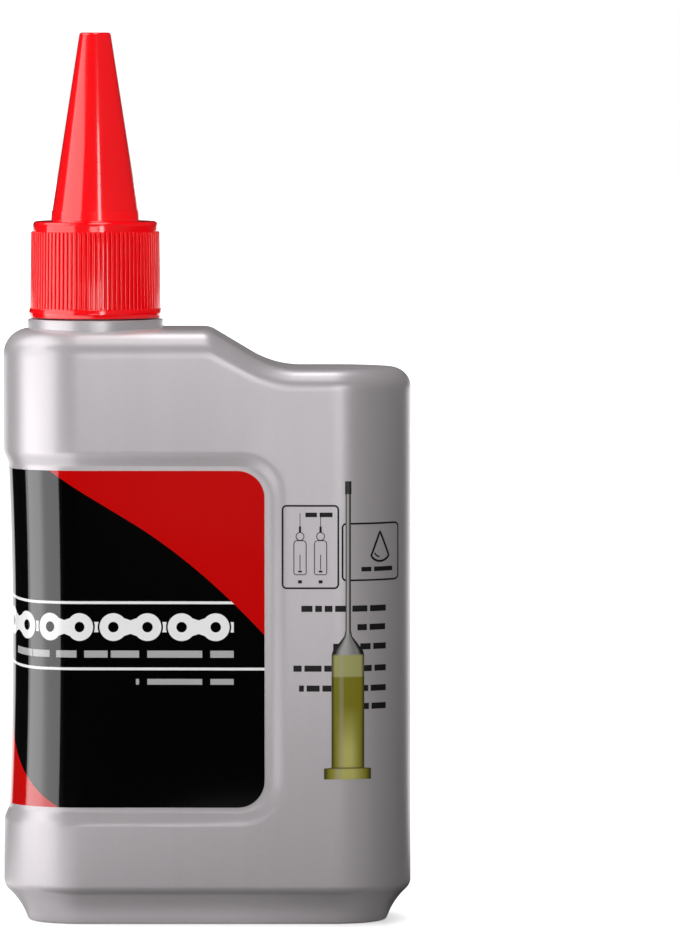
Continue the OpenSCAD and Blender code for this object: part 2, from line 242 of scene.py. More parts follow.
def rounded(profile: Sequence[tuple[float, float, float]], steps: int = 4) -> list[Point]:
    """A polyline whose corners are rounded.

    Args:
        profile: (radius, height, corner radius) triples.
        steps: Number of segments in each rounded corner.

    Returns:
        The (radius, height) pairs.
    """
    out: list[Point] = []
    for i, (x, y, r) in enumerate(profile):
        if r <= 0:
            out.append((x, y))
            continue
        here = np.array([x, y])
        back, ahead = (np.array(profile[k][:2]) - here for k in (i - 1, i + 1))
        back_l, ahead_l = np.linalg.norm(back), np.linalg.norm(ahead)
        back, ahead = back / back_l, ahead / ahead_l
        half = math.acos(float(np.clip(back @ ahead, -1, 1))) / 2
        cut = min(r / math.tan(half), 0.49 * back_l, 0.49 * ahead_l)
        a, b = here + back * cut, here + ahead * cut
        for t in np.linspace(0, 1, steps + 1):
            p = (1 - t) ** 2 * a + 2 * t * (1 - t) * here + t * t * b
            out.append((float(p[0]), float(p[1])))
    return out


@dataclass(frozen=True)
class Thread:
    """A screw thread's ridge that fades in and out, from its root to its crest."""

    name: str
    root_r: float
    crest_r: float
    low_z: float
    turns: float
    pitch: float = 3.0
    width: float = 1.3
    fade_turns: float = 0.16
    turn_steps: int = 72
    section: tuple[Point, ...] = (
        (0.0, -0.5), (0.72, -0.34), (1.0, -0.2), (1.0, 0.2), (0.72, 0.34), (0.0, 0.5),
    )

    def ridge(self, axis_x: float) -> Any:
        """Builds the ridge around a vertical axis.

        Args:
            axis_x: Place of the axis along X.

        Returns:
            The closed mesh object.
        """
        turn = np.linspace(0, 1, int(self.turns * self.turn_steps) + 1) * self.turns
        fade = smooth(np.minimum(turn, self.turns - turn) / self.fade_turns)
        crest = mix(self.root_r, self.crest_r, 0.15 + 0.85 * fade)
        angle = 2 * math.pi * turn
        rows = []
        for out, up in self.section:
            radius = mix(self.root_r, crest, out)
            height = self.low_z + self.pitch * turn + up * self.width
            rows.append(
                np.stack([axis_x + radius * np.cos(angle), radius * np.sin(angle), height], axis=1)
            )
        grid = np.stack(rows, axis=1)
        faces = tube(*grid.shape[:2])
        if self.crest_r > self.root_r:
            faces = [tuple(reversed(f)) for f in faces]
        return new_mesh(self.name, grid.reshape(-1, 3), faces)


# The body's form: the same sizes and rules as the CAD solids


@dataclass(frozen=True)
class BodyForm:
    """Sizes and surfaces of the flat body, with the label's panel."""

    width: float = 63.7
    depth: float = 26.0
    end_r: float = 12.4
    shoulder_h: float = 92.7
    wall: float = 1.1
    high_fillet: float = 4.2
    low_fillet: float = 3.2
    slope_drop: float = 6.1
    slope_start: float = 16.8
    slope_angle: float = 31.0
    crest_r: float = 3.5
    hollow_r: float = 15.0
    foot_h: float = 6.3
    foot_edge_r: float = 1.8
    foot_angle: float = 48.0
    foot_end_angle: float = 20.0
    foot_bottom_r: float = 0.7
    foot_ring_w: float = 1.5
    base_hollow: float = 1.3
    label_z: float = 18.5
    label_h: float = 52.4
    label_side: float = 22.8
    label_corner_r: float = 4.2
    label_t: float = 0.18
    label_gap: float = 0.06
    panel_depth: float = 0.8
    panel_bow: float = 0.6
    panel_rise: float = 0.28
    panel_rise_w: float = 16.0
    panel_rim_w: float = 2.4
    panel_margin_x: float = 1.2
    panel_margin_z: float = 0.7
    rim_straight: float = 0.5
    neck_from_end: float = 14.4
    seam_out: float = 0.05
    seam_half_w: float = 0.16
    skin_back: float = 0.05

    @property
    def flat_x(self) -> float:
        """Half the length of the flat front."""
        return self.width / 2 - self.end_r

    @property
    def flat_y(self) -> float:
        """Half the length of the flat part of an end."""
        return self.depth / 2 - self.end_r

    @property
    def neck_x(self) -> float:
        """Place of the neck's axis."""
        return self.neck_from_end - self.width / 2

    @property
    def slope_x(self) -> float:
        """Place where the shoulder's slope begins."""
        return self.neck_x + self.slope_start

    @property
    def near_arc(self) -> float:
        """Way along the outline from the near end to the flat front."""
        return self.flat_y + self.end_r * math.pi / 2

    @property
    def slope_parts(self) -> tuple[float, float, float, float]:
        """Parts of the shoulder's slope.

        Returns:
            Widths of its crest, run and hollow, and the crest's drop.
        """
        a = math.radians(self.slope_angle)
        crest_z, hollow_z = (r * (1 - math.cos(a)) for r in (self.crest_r, self.hollow_r))
        run_x = (self.slope_drop - crest_z - hollow_z) / math.tan(a)
        return self.crest_r * math.sin(a), run_x, self.hollow_r * math.sin(a), crest_z

    @property
    def slope_w(self) -> float:
        """Width of the whole slope."""
        return sum(self.slope_parts[:3])

    @property
    def label_edge(self) -> float:
        """Way along the outline from the near end to the label's edge."""
        return self.near_arc + 2 * self.flat_x - (self.label_side - self.end_r)

    @property
    def panel_edge(self) -> float:
        """Way along the outline from the near end to the panel floor's edge."""
        return self.label_edge + self.panel_margin_x

    @property
    def panel_low(self) -> float:
        """Height of the panel floor's lower edge."""
        return self.label_z - self.panel_margin_z

    @property
    def panel_high(self) -> float:
        """Height of the panel floor's upper edge."""
        return self.label_z + self.label_h + self.panel_margin_z

    @property
    def panel_corner_r(self) -> float:
        """Corner radius of the panel's floor."""
        return self.label_corner_r + self.panel_margin_z

    def top_z(self, x: Array) -> Array:
        """Height of the shoulder at places along the width.

        Args:
            x: The places.

        Returns:
            The heights.
        """
        crest_x, run_x, _, crest_z = self.slope_parts
        u = np.asarray(x, float) - self.slope_x
        over = np.maximum(self.crest_r**2 - np.clip(u, 0, crest_x) ** 2, 0)
        crest = self.crest_r - np.sqrt(over)
        run = crest_z + (u - crest_x) * math.tan(math.radians(self.slope_angle))
        left = np.clip(self.slope_w - u, 0, self.hollow_r)
        hollow = self.slope_drop - self.hollow_r + np.sqrt(self.hollow_r**2 - left**2)
        lost = np.where(u < crest_x, crest, np.where(u < crest_x + run_x, run, hollow))
        return self.shoulder_h - np.where(u >= self.slope_w, self.slope_drop, lost)

    def fillet_at(self, x: Array) -> Array:
        """Radius of the fillet between the shoulder and the sides."""
        share = smooth((np.asarray(x, float) - self.slope_x) / self.slope_w)
        return mix(self.high_fillet, self.low_fillet, share)

    def panel_inset(self, s: Array, z: Array) -> Array:
        """Depth of the label's panel below the outline.

        Args:
            s: Ways along the outline from the near end.
            z: Heights.

        Returns:
            The depths, which are 0 outside the panel.
        """
        low, high, corner = self.panel_low, self.panel_high, self.panel_corner_r
        middle, half = (low + high) / 2, (high - low) / 2
        dx = np.asarray(s, float) - (self.panel_edge - corner)
        dz = np.abs(np.asarray(z, float) - middle) - (half - corner)
        out = np.where((dx > 0) & (dz > 0), np.hypot(dx, dz), np.maximum(dx, dz))
        share = np.clip((out - corner) / self.panel_rim_w, 0, 1)
        steep = 2 / (1 + self.rim_straight)
        ease = (1 - share) ** 2 * steep / (2 * (1 - self.rim_straight))
        sunk = np.where(share < self.rim_straight, 1 - steep * share, ease)
        waist = np.clip(1 - ((z - middle) / half) ** 2, 0, 1)
        near = 1 - smooth(s / (self.panel_edge - corner))
        far = smooth(1 - (self.panel_edge - s) / self.panel_rise_w)
        depth = self.panel_depth - self.panel_rise * far
        return sunk * (depth + self.panel_bow * waist * near)

    def foot_profile(self, steps: int) -> list[Point]:
        """The foot's (inset, height) pairs from its top edge to the ground.

        Args:
            steps: Segments in its edge and bottom arcs; the cove has one more.

        Returns:
            The pairs, from the wall down to the ring that the bottle stands on.
        """
        a, b = math.radians(self.foot_angle), math.radians(self.foot_end_angle)
        edge, bottom = self.foot_edge_r, self.foot_bottom_r
        rest = self.foot_h - edge * math.sin(a) - bottom * (1 - math.sin(b))
        cove = rest / (math.sin(a) - math.sin(b))
        out = [(0.0, self.foot_h)]
        arcs = ((-edge, 0.0, a, steps), (cove, a, b, steps + 1), (-bottom, b, QUARTER, steps))
        for r, start, end, count in arcs:
            x0, z0 = out[-1]
            out += [
                (x0 + r * (math.cos(t) - math.cos(start)), z0 + r * (math.sin(t) - math.sin(start)))
                for t in np.linspace(start, end, count + 1)[1:]
            ]
        return out

    def outline(self, s: Array) -> tuple[Array, Array, Array, Array]:
        """Points and normals of the outline seen from above.

        Args:
            s: Ways from the near end, above 0 at the front and below at the back.

        Returns:
            x, y and the normal's x and y.
        """
        s = np.asarray(s, float)
        d, side = np.abs(s), np.where(s < 0, 1.0, -1.0)
        near, flat_end, r = self.near_arc, self.near_arc + 2 * self.flat_x, self.end_r
        a = np.clip((d - self.flat_y) / r, 0, QUARTER)
        b = np.clip((d - flat_end) / r, 0, QUARTER)
        end_y = np.clip(self.flat_y - (d - flat_end - r * math.pi / 2), 0, self.flat_y)
        nx = np.where(d < near, -np.cos(a), np.sin(b))
        ny = side * np.where(d < near, np.sin(a), np.cos(b))
        flat = np.clip(d - near - self.flat_x, -self.flat_x, self.flat_x)
        x = np.where(d < near, -self.flat_x - r * np.cos(a), flat + r * np.sin(b))
        past = np.where(d < near, self.flat_y + r * np.sin(a), end_y + r * np.cos(b))
        y = side * np.where(d < self.flat_y, d, past)
        return x, y, nx, ny

    def surface(self, s: Array, z: Array, lift: Array | float) -> Array:
        """Points on the body's side, or a little in front of it.

        Args:
            s: Ways along the outline from the near end.
            z: Heights.
            lift: Distance in front of the surface.

        Returns:
            The points, with x, y and z on the last axis.
        """
        x, y, nx, ny = self.outline(s)
        out = lift - self.skin_back - self.panel_inset(np.abs(s), z)
        return np.stack([x + nx * out, y + ny * out, np.broadcast_to(z, x.shape)], -1)

    def front_way(self, x: float) -> float:
        """Way along the outline to a place on the front.

        Args:
            x: The place along the width.

        Returns:
            The way from the near end.
        """
        over = np.clip((np.asarray(x, float) - self.flat_x) / self.end_r, 0, 1)
        flat = np.minimum(x, self.flat_x)
        return float(self.near_arc + self.flat_x + flat + self.end_r * np.arcsin(over))


# Shader making


class Wire:
    """A shader value that takes part in arithmetic, which adds Math nodes."""

    def __init__(self, graph: Graph, socket: Any) -> None:
        """Wraps a socket of a graph's node."""
        self.graph = graph
        self.socket = socket

    def __add__(self, other: Any) -> Wire:
        """Sum of two values."""
        return self.graph.math("ADD", self, other)

    def __sub__(self, other: Any) -> Wire:
        """Difference of two values."""
        return self.graph.math("SUBTRACT", self, other)

    def __rsub__(self, other: Any) -> Wire:
        """Difference, with this value taken away."""
        return self.graph.math("SUBTRACT", other, self)

    def __mul__(self, other: Any) -> Wire:
        """Product of two values."""
        return self.graph.math("MULTIPLY", self, other)

    def __truediv__(self, other: Any) -> Wire:
        """Quotient of two values."""
        return self.graph.math("DIVIDE", self, other)

    def __rtruediv__(self, other: Any) -> Wire:
        """Quotient, with this value as the divisor."""
        return self.graph.math("DIVIDE", other, self)

    __radd__ = __add__
    __rmul__ = __mul__


class Graph:
    """The node tree of one material, world or geometry."""

    def __init__(self, tree: Any) -> None:
        """Takes a node tree and empties it."""
        self.tree = tree
        tree.nodes.clear()

    def node(self, kind: str, links: Links | None = None, **settings: Any) -> Any:
        """Adds a node.

        Args:
            kind: Type of the node.
            links: Values or wires for its input sockets, by name or number.
            **settings: Its own settings, set before its sockets.

        Returns:
            The node.
        """
        node = self.tree.nodes.new(kind)
        for key, value in settings.items():
            setattr(node, key, value)
        for key, value in (links or {}).items():
            if isinstance(value, Wire):
                self.tree.links.new(value.socket, node.inputs[key])
            else:
                node.inputs[key].default_value = value
        return node

    def out(
        self, kind: str, links: Links | None = None, output: str | int = 0, **settings: Any
    ) -> Wire:
        """Adds a node and wraps one of its outputs."""
        return Wire(self, self.node(kind, links, **settings).outputs[output])

    def math(self, operation: str, a: Any, b: Any = None, clamp: bool = False) -> Wire:
        """Adds a Math node, which may hold its result between 0 and 1."""
        links: Links = {0: a} if b is None else {0: a, 1: b}
        return self.out("ShaderNodeMath", links, operation=operation, use_clamp=clamp)

    def size(self, value: Wire) -> Wire:
        """The value without its sign."""
        return self.math("ABSOLUTE", value)

    def reach(self, a: Wire, b: Wire) -> Wire:
        """Length of the way with these two parts."""
        return self.math("SQRT", a * a + b * b)

    def below(self, value: Any, limit: Any, soft: float) -> Wire:
        """Mask that is 1 where a value is below a limit, with a soft edge."""
        return self.math("ADD", (limit - value) * (1 / soft), 0.5, clamp=True)

    def either(self, *masks: Wire) -> Wire:
        """Joins masks into one.

        Args:
            *masks: The masks.

        Returns:
            The mask that is on where any of them is.
        """
        found = masks[0]
        for mask in masks[1:]:
            found = self.math("MAXIMUM", found, mask)
        return found

    def blend(self, share: Any, a: Any, b: Any) -> Wire:
        """Colour between a and b."""
        return self.out("ShaderNodeMix", {0: share, 6: a, 7: b}, 2, data_type="RGBA")

    def place(self, scale: tuple[float, float, float] = (1, 1, 1)) -> Wire:
        """Object coordinates in metres, stretched by a scale."""
        where = self.out("ShaderNodeTexCoord", None, "Object")
        return self.out("ShaderNodeMapping", {"Vector": where, "Scale": scale})

    def noise(self, where: Wire, scale: float, detail: float = 2.0) -> Wire:
        """Noise between 0 and 1 at the wrapped coordinates."""
        links = {"Vector": where, "Scale": scale, "Detail": detail}
        return self.out("ShaderNodeTexNoise", links)

    def parts(self, vector: Wire) -> tuple[Wire, Wire, Wire]:
        """The three components of a vector."""
        node = self.node("ShaderNodeSeparateXYZ", {0: vector})
        return tuple(Wire(self, node.outputs[i]) for i in range(3))

    def film_place(self) -> tuple[Wire, Wire]:
        """The two coordinates of a print's own map."""
        return self.parts(self.out("ShaderNodeUVMap", uv_map=FILM_MAP))[:2]

    def bump(self, height: Any, depth: float) -> Wire:
        """Normal that is bent by a height map, with its depth in millimetres."""
        links = {"Strength": 1.0, "Distance": depth * MM, "Height": height}
        return self.out("ShaderNodeBump", links)

    def diffuse(self, colour: Any) -> Wire:
        """A matt surface of one colour."""
        return self.out("ShaderNodeBsdfDiffuse", {"Color": colour})

    def ray(self, kind: str) -> Wire:
        """Mask of one kind of ray, such as Camera or Glossy."""
        return self.out("ShaderNodeLightPath", None, f"Is {kind} Ray")


def rgb(r: float, g: float, b: float) -> Colour:
    """An opaque colour from three linear components."""
    return (r, g, b, 1.0)


def grey(level: float) -> Colour:
    """An opaque grey."""
    return rgb(level, level, level)


def new_material(name: str) -> tuple[Any, Graph]:
    """Makes a material with an empty node tree.

    Args:
        name: Name of the material.

    Returns:
        The material, and the graph of its tree.
    """
    material = bpy.data.materials.new(name)
    material.use_nodes = True
    return material, Graph(material.node_tree)


@dataclass(frozen=True)
class Finish:
    """A surface finish made of one Principled shader."""

    name: str
    colour: Colour
    roughness: float = 0.4
    metallic: float = 0.0
    ior: float = 1.5
    coat: float = 0.0
    subsurface: float = 0.0

    def paint(self, graph: Graph) -> Links:
        """Values or wires of the shader that vary over the surface."""
        return {}

    def tinted(self, *shares: float) -> Colour:
        """The finish's colour with each component scaled by a share."""
        return rgb(*(c * share for c, share in zip(self.colour, shares)))

    def material(self) -> Any:
        """Makes the material, or finds it where it is made already.

        Returns:
            The Blender material.
        """
        found = bpy.data.materials.get(self.name)
        if found:
            return found
        material, graph = new_material(self.name)
        links: Links = {
            "Base Color": self.colour,
            "Roughness": self.roughness,
            "Metallic": self.metallic,
            "IOR": self.ior,
            "Coat Weight": self.coat,
            "Coat Roughness": 0.05,
            "Subsurface Weight": self.subsurface,
            "Subsurface Scale": MM,
        }
        links.update(self.paint(graph))
        shader = graph.out("ShaderNodeBsdfPrincipled", links)
        graph.node("ShaderNodeOutputMaterial", {"Surface": shader})
        return material

    def dress(self, piece: Any) -> None:
        """Gives a piece this finish in all its slots."""
        piece.data.materials.clear()
        piece.data.materials.append(self.material())


@dataclass(frozen=True)
class SilverPlastic(Finish):
    """Silver-pigmented polyethylene: fine flake, flow streaks, soft moulded skin."""

    flake: float = 0.05
    streak: float = 0.03
    scuff: float = 0.12
    scuff_h: float = 0.9
    skin: float = 0.012

    def paint(self, graph: Graph) -> Links:
        """Flake and streaks in the colour, a scuffed foot and the skin's grain.

        Args:
            graph: The material's graph.

        Returns:
            The shader's values.
        """
        place = graph.place()
        flake = graph.noise(place, 5200, 1.0)
        streak = graph.noise(graph.place((1, 1, 0.06)), 420, 3.0)
        cloud = graph.noise(place, 60)
        z = graph.parts(place)[2]
        scuff = graph.below(z, self.scuff_h * MM, 0.6 * MM) * graph.noise(place, 1500, 3.0)
        fleck = (flake - 0.5) * self.flake * 2
        light = 1.0 + fleck + (streak - 0.5) * self.streak * 2 - scuff * self.scuff
        scaled = {0: self.colour[:3], "Scale": light}
        normal = graph.bump(graph.noise(place, 900) * 0.6 + flake * 0.15, self.skin)
        return {
            "Base Color": graph.out("ShaderNodeVectorMath", scaled, operation="SCALE"),
            "Roughness": self.roughness + (cloud - 0.5) * 0.05 + (flake - 0.5) * 0.06 + scuff * 0.2,
            "Normal": normal,
        }


@dataclass(frozen=True)
class PrintedFilm(Finish):
    """Glossy wrap label with black and red fields, white rules and a link motif."""

    red: Colour = rgb(0.56, 0.0018, 0.0018)
    white: Colour = grey(0.86)
    pale: Colour = grey(0.42)
    edge: float = 0.07
    border_top: float = 70.9
    border_start: float = 14.6
    border_fall: float = 0.605
    border_bend: float = 0.0112
    border_bend_from: float = 27.5
    arc_s: float = 30.0
    arc_z: float = 45.5
    arc_r: float = 30.3
    arc_reach: float = 17.0
    rule_high: float = 50.4
    rule_low: float = 40.1
    rule_w: float = 0.42
    rise_from: float = 13.0
    rise_h: float = 1.2
    link_z: float = 46.6
    link_pitch: float = 5.3
    link_from: float = 3.9
    link_to: float = 43.8
    link_r: float = 2.15
    link_waist: float = 1.05
    link_flare: float = 0.9
    link_hole_r: float = 0.82
    link_bar: float = 0.8
    link_gap: float = 0.28
    bar_rows: tuple[tuple[float, float, float], ...] = ((42.4, 1.1, 6.0), (38.1, 0.9, 28.6))
    wave_depth: float = 0.02

    def links_row(self, graph: Graph, s: Wire, z: Wire) -> Wire:
        """Mask of a plain roller chain's row of side plates.

        Args:
            graph: The material's graph.
            s: Way along the outline in millimetres, without its sign.
            z: Height in millimetres.

        Returns:
            The mask.
        """
        edge, pitch = self.edge, self.link_pitch
        up = graph.size(z - self.link_z)
        along = (s - self.link_from) / pitch
        from_pin = graph.size(graph.math("FRACT", along) - 0.5) * -pitch + pitch / 2
        reach = graph.reach(from_pin, up)
        outer = graph.below(graph.math("FRACT", along * 0.5), 0.5, 0.01)
        waist = self.link_waist + (1 - from_pin / (pitch / 2)) * self.link_flare
        eyes = graph.below(reach, self.link_r, edge)
        plate = graph.either(eyes, graph.below(up, waist, edge) * outer)
        hole = graph.below(reach, self.link_hole_r, edge)
        ring = graph.below(self.link_r + self.link_gap, reach, edge)
        bar = graph.below(up, self.link_bar, edge) * ring * (1 - outer)
        start = graph.below(self.link_from - self.link_r, s, edge)
        inside = graph.below(s, self.link_to, edge) * start
        return graph.either(plate * (1 - hole), bar) * inside

    def small_print(
        self, graph: Graph, s: Wire, z: Wire, middle: float, height: float, start: float
    ) -> Wire:
        """Mask of a row of plain bars where small print would stand.

        Args:
            graph: The material's graph.
            s: Way along the outline in millimetres.
            z: Height in millimetres.
            middle: Height of the row's middle.
            height: Height of its bars.
            start: Where the row begins.

        Returns:
            The mask.
        """
        words, gaps = (graph.math("FRACT", (self.link_to - s) / w) for w in (4.9, 8.3))
        bars = graph.either(graph.below(words, 0.74, 0.02), graph.below(gaps, 0.3, 0.02))
        span = graph.below(s, self.link_to, self.edge) * graph.below(start, s, self.edge)
        return graph.below(graph.size(z - middle), height / 2, self.edge) * bars * span

    def paint(self, graph: Graph) -> Links:
        """The printed fields, rules and motif, and the film's faint waves.

        Args:
            graph: The material's graph.

        Returns:
            The shader's values.
        """
        u, v = graph.film_place()
        s, z, edge = graph.size((u - 0.5) * MAP_SCALE), v * MAP_SCALE, self.edge
        past = graph.math("MAXIMUM", s - self.border_bend_from, 0)
        border = self.border_top + self.border_start * self.border_fall - s * self.border_fall
        border = border - past * past * self.border_bend
        upper = graph.below(border, z, edge) * graph.below(self.border_start - 3, s, edge)
        away = graph.reach(s - self.arc_s, z - self.arc_z)
        lower = graph.below(self.arc_r, away, edge) * graph.below(s, self.arc_reach, edge)
        lower = lower * graph.below(z, self.arc_z, edge)
        rise = graph.math("MAXIMUM", (self.rise_from - s) / self.rise_from, 0)
        lifted = z - rise * rise * self.rise_h
        high, low = (
            graph.below(graph.size(lifted - middle), self.rule_w / 2, edge)
            for middle in (self.rule_high, self.rule_low)
        )
        rules = graph.either(high, low) * (1 - upper)
        bars = graph.either(*(self.small_print(graph, s, lifted, *row) for row in self.bar_rows))
        red = graph.blend(graph.either(upper, lower), self.colour, self.red)
        pale = graph.blend(bars, red, self.pale)
        grain = graph.noise(graph.place(), 2600)
        height = graph.noise(graph.place(), 35, 1.0) + grain * 0.004
        row = self.links_row(graph, s, lifted)
        return {
            "Base Color": graph.blend(graph.either(rules, row), pale, self.white),
            "Roughness": self.roughness + (grain - 0.5) * 0.03,
            "Normal": graph.bump(height, self.wave_depth),
        }


@dataclass(frozen=True)
class CapPlastic(Finish):
    """Glossy red polypropylene with faint flow marks and handling scuffs."""

    depth: float = 0.006

    def paint(self, graph: Graph) -> Links:
        """Flow marks in the colour, and scuffs in the gloss.

        Args:
            graph: The material's graph.

        Returns:
            The shader's values.
        """
        flow = graph.noise(graph.place((1, 1, 0.25)), 240, 3.0)
        grain = graph.noise(graph.place(), 1800)
        return {
            "Base Color": graph.blend(flow * 0.6, self.colour, self.tinted(0.9, 0.9, 0.9)),
            "Roughness": self.roughness + (flow - 0.5) * 0.08 + (grain - 0.5) * 0.05,
            "Normal": graph.bump(grain * 0.3 + flow, self.depth),
        }


@dataclass(frozen=True)
class SoftPlastic(Finish):
    """Natural polyethylene or foam, with a cloudy body and a fine grain."""

    grain_scale: float = 1400.0
    grain_depth: float = 0.01

    def paint(self, graph: Graph) -> Links:
        """Clouds in the colour, and the grain of the skin or foam.

        Args:
            graph: The material's graph.

        Returns:
            The shader's values.
        """
        place = graph.place()
        grain = graph.noise(place, self.grain_scale)
        warm = self.tinted(0.96, 0.94, 0.88)
        return {
            "Base Color": graph.blend(graph.noise(place, 220, 3.0), self.colour, warm),
            "Roughness": self.roughness + (grain - 0.5) * 0.12,
            "Normal": graph.bump(grain, self.grain_depth),
        }


@dataclass(frozen=True)
class PrintInk(Finish):
    """Screen-printed ink with a slightly uneven film."""

    def paint(self, graph: Graph) -> Links:
        """Unevenness of the ink's colour and gloss.

        Args:
            graph: The material's graph.

        Returns:
            The shader's values.
        """
        grain = graph.noise(graph.place(), 3800)
        thin = rgb(*(c * 1.8 + 0.006 for c in self.colour[:3]))
        return {
            "Base Color": graph.blend(grain, self.colour, thin),
            "Roughness": self.roughness + (grain - 0.5) * 0.1,
        }


@dataclass(frozen=True)
class OilerPicture(Finish):
    """Printed picture of a needle oiler: clear tube and cone, and a filled barrel."""

    oil_dark: Colour = rgb(0.19, 0.172, 0.002)
    oil_light: Colour = rgb(0.50, 0.47, 0.14)
    glass: Colour = rgb(0.36, 0.35, 0.34)
    line: Colour = rgb(0.012, 0.011, 0.01)
    clear_oil: Colour = rgb(0.34, 0.33, 0.12)
    tip_z: float = 67.3
    tube_z: float = 45.6
    barrel_z: float = 42.3
    oil_z: float = 38.9
    pale_z: float = 31.0
    foot_z: float = 24.7

    def paint(self, graph: Graph) -> Links:
        """The picture's colours by height and by the place across it.

        Args:
            graph: The material's graph.

        Returns:
            The shader's values.
        """
        u, v = graph.film_place()
        across, z, below = (u - 0.5) * 2, v * MAP_SCALE, graph.below
        side = graph.size(across)
        pale = below(z, self.pale_z, 7.0) * below(side, 0.5, 0.6)
        oil = graph.blend(pale * 0.85, self.oil_dark, self.oil_light)
        filled = graph.blend(below(z, self.oil_z, 0.3), self.clear_oil, oil)
        glint = below(graph.size(across + 0.42), 0.12, 0.14)
        lit = graph.blend(glint * 0.3, filled, self.glass)
        rim = below(graph.size(z - self.foot_z), 0.14, 0.12)
        edge = graph.either(below(0.86, side, 0.14), rim * 0.8)
        barrel = graph.blend(edge * 0.75, lit, self.line)
        shaded = graph.either(below(0.62, side, 0.35), below(0.1, across, 0.5) * 0.45)
        cone = graph.blend(shaded, self.glass, self.line)
        walls = graph.either(below(0.3, across, 0.3), below(across, -0.62, 0.3))
        tube_colour = graph.blend(walls * 0.92, self.glass, self.line)
        slim = graph.blend(below(self.tube_z, z, 0.4), cone, tube_colour)
        clear = graph.blend(below(self.tip_z, z, 0.2) * 0.9, slim, self.line)
        return {"Base Color": graph.blend(below(z, self.barrel_z, 0.4), clear, barrel)}


SILVER = SilverPlastic("silver_polyethylene", rgb(0.57, 0.537, 0.558), 0.34, metallic=0.45)
FILM = PrintedFilm("printed_film", rgb(0.0008, 0.0006, 0.0006), 0.07, ior=1.73)
RED = CapPlastic("red_polypropylene", rgb(0.97, 0.0008, 0.005), 0.15, coat=0.8)
SPOUT = SoftPlastic("natural_polyethylene", rgb(0.80, 0.79, 0.73), 0.38, subsurface=0.3)
FOAM = SoftPlastic(
    "white_foam", rgb(0.84, 0.84, 0.82), 0.85, grain_scale=4200.0, grain_depth=0.05
)
INK = PrintInk("dark_ink", rgb(0.006, 0.005, 0.006), 0.5, ior=1.3)
PICTURE = OilerPicture("oiler_picture", grey(0.4), 0.5, ior=1.3)


# The bottle


@dataclass(frozen=True)
class Neck:
    """Sizes of the collar, the neck and its thread."""

    radius: float = 7.5
    bore_r: float = 5.9
    collar_r: float = 10.55
    collar_h: float = 1.4
    height: float = 12.6
    thread_turns: float = 1.5
    thread_depth: float = 0.9
    thread_sunk: float = 0.2
    thread_z: float = 3.4
    edge_r: float = 0.25
    root_r: float = 0.15
    overlap: float = 1.0
    steps: int = 144


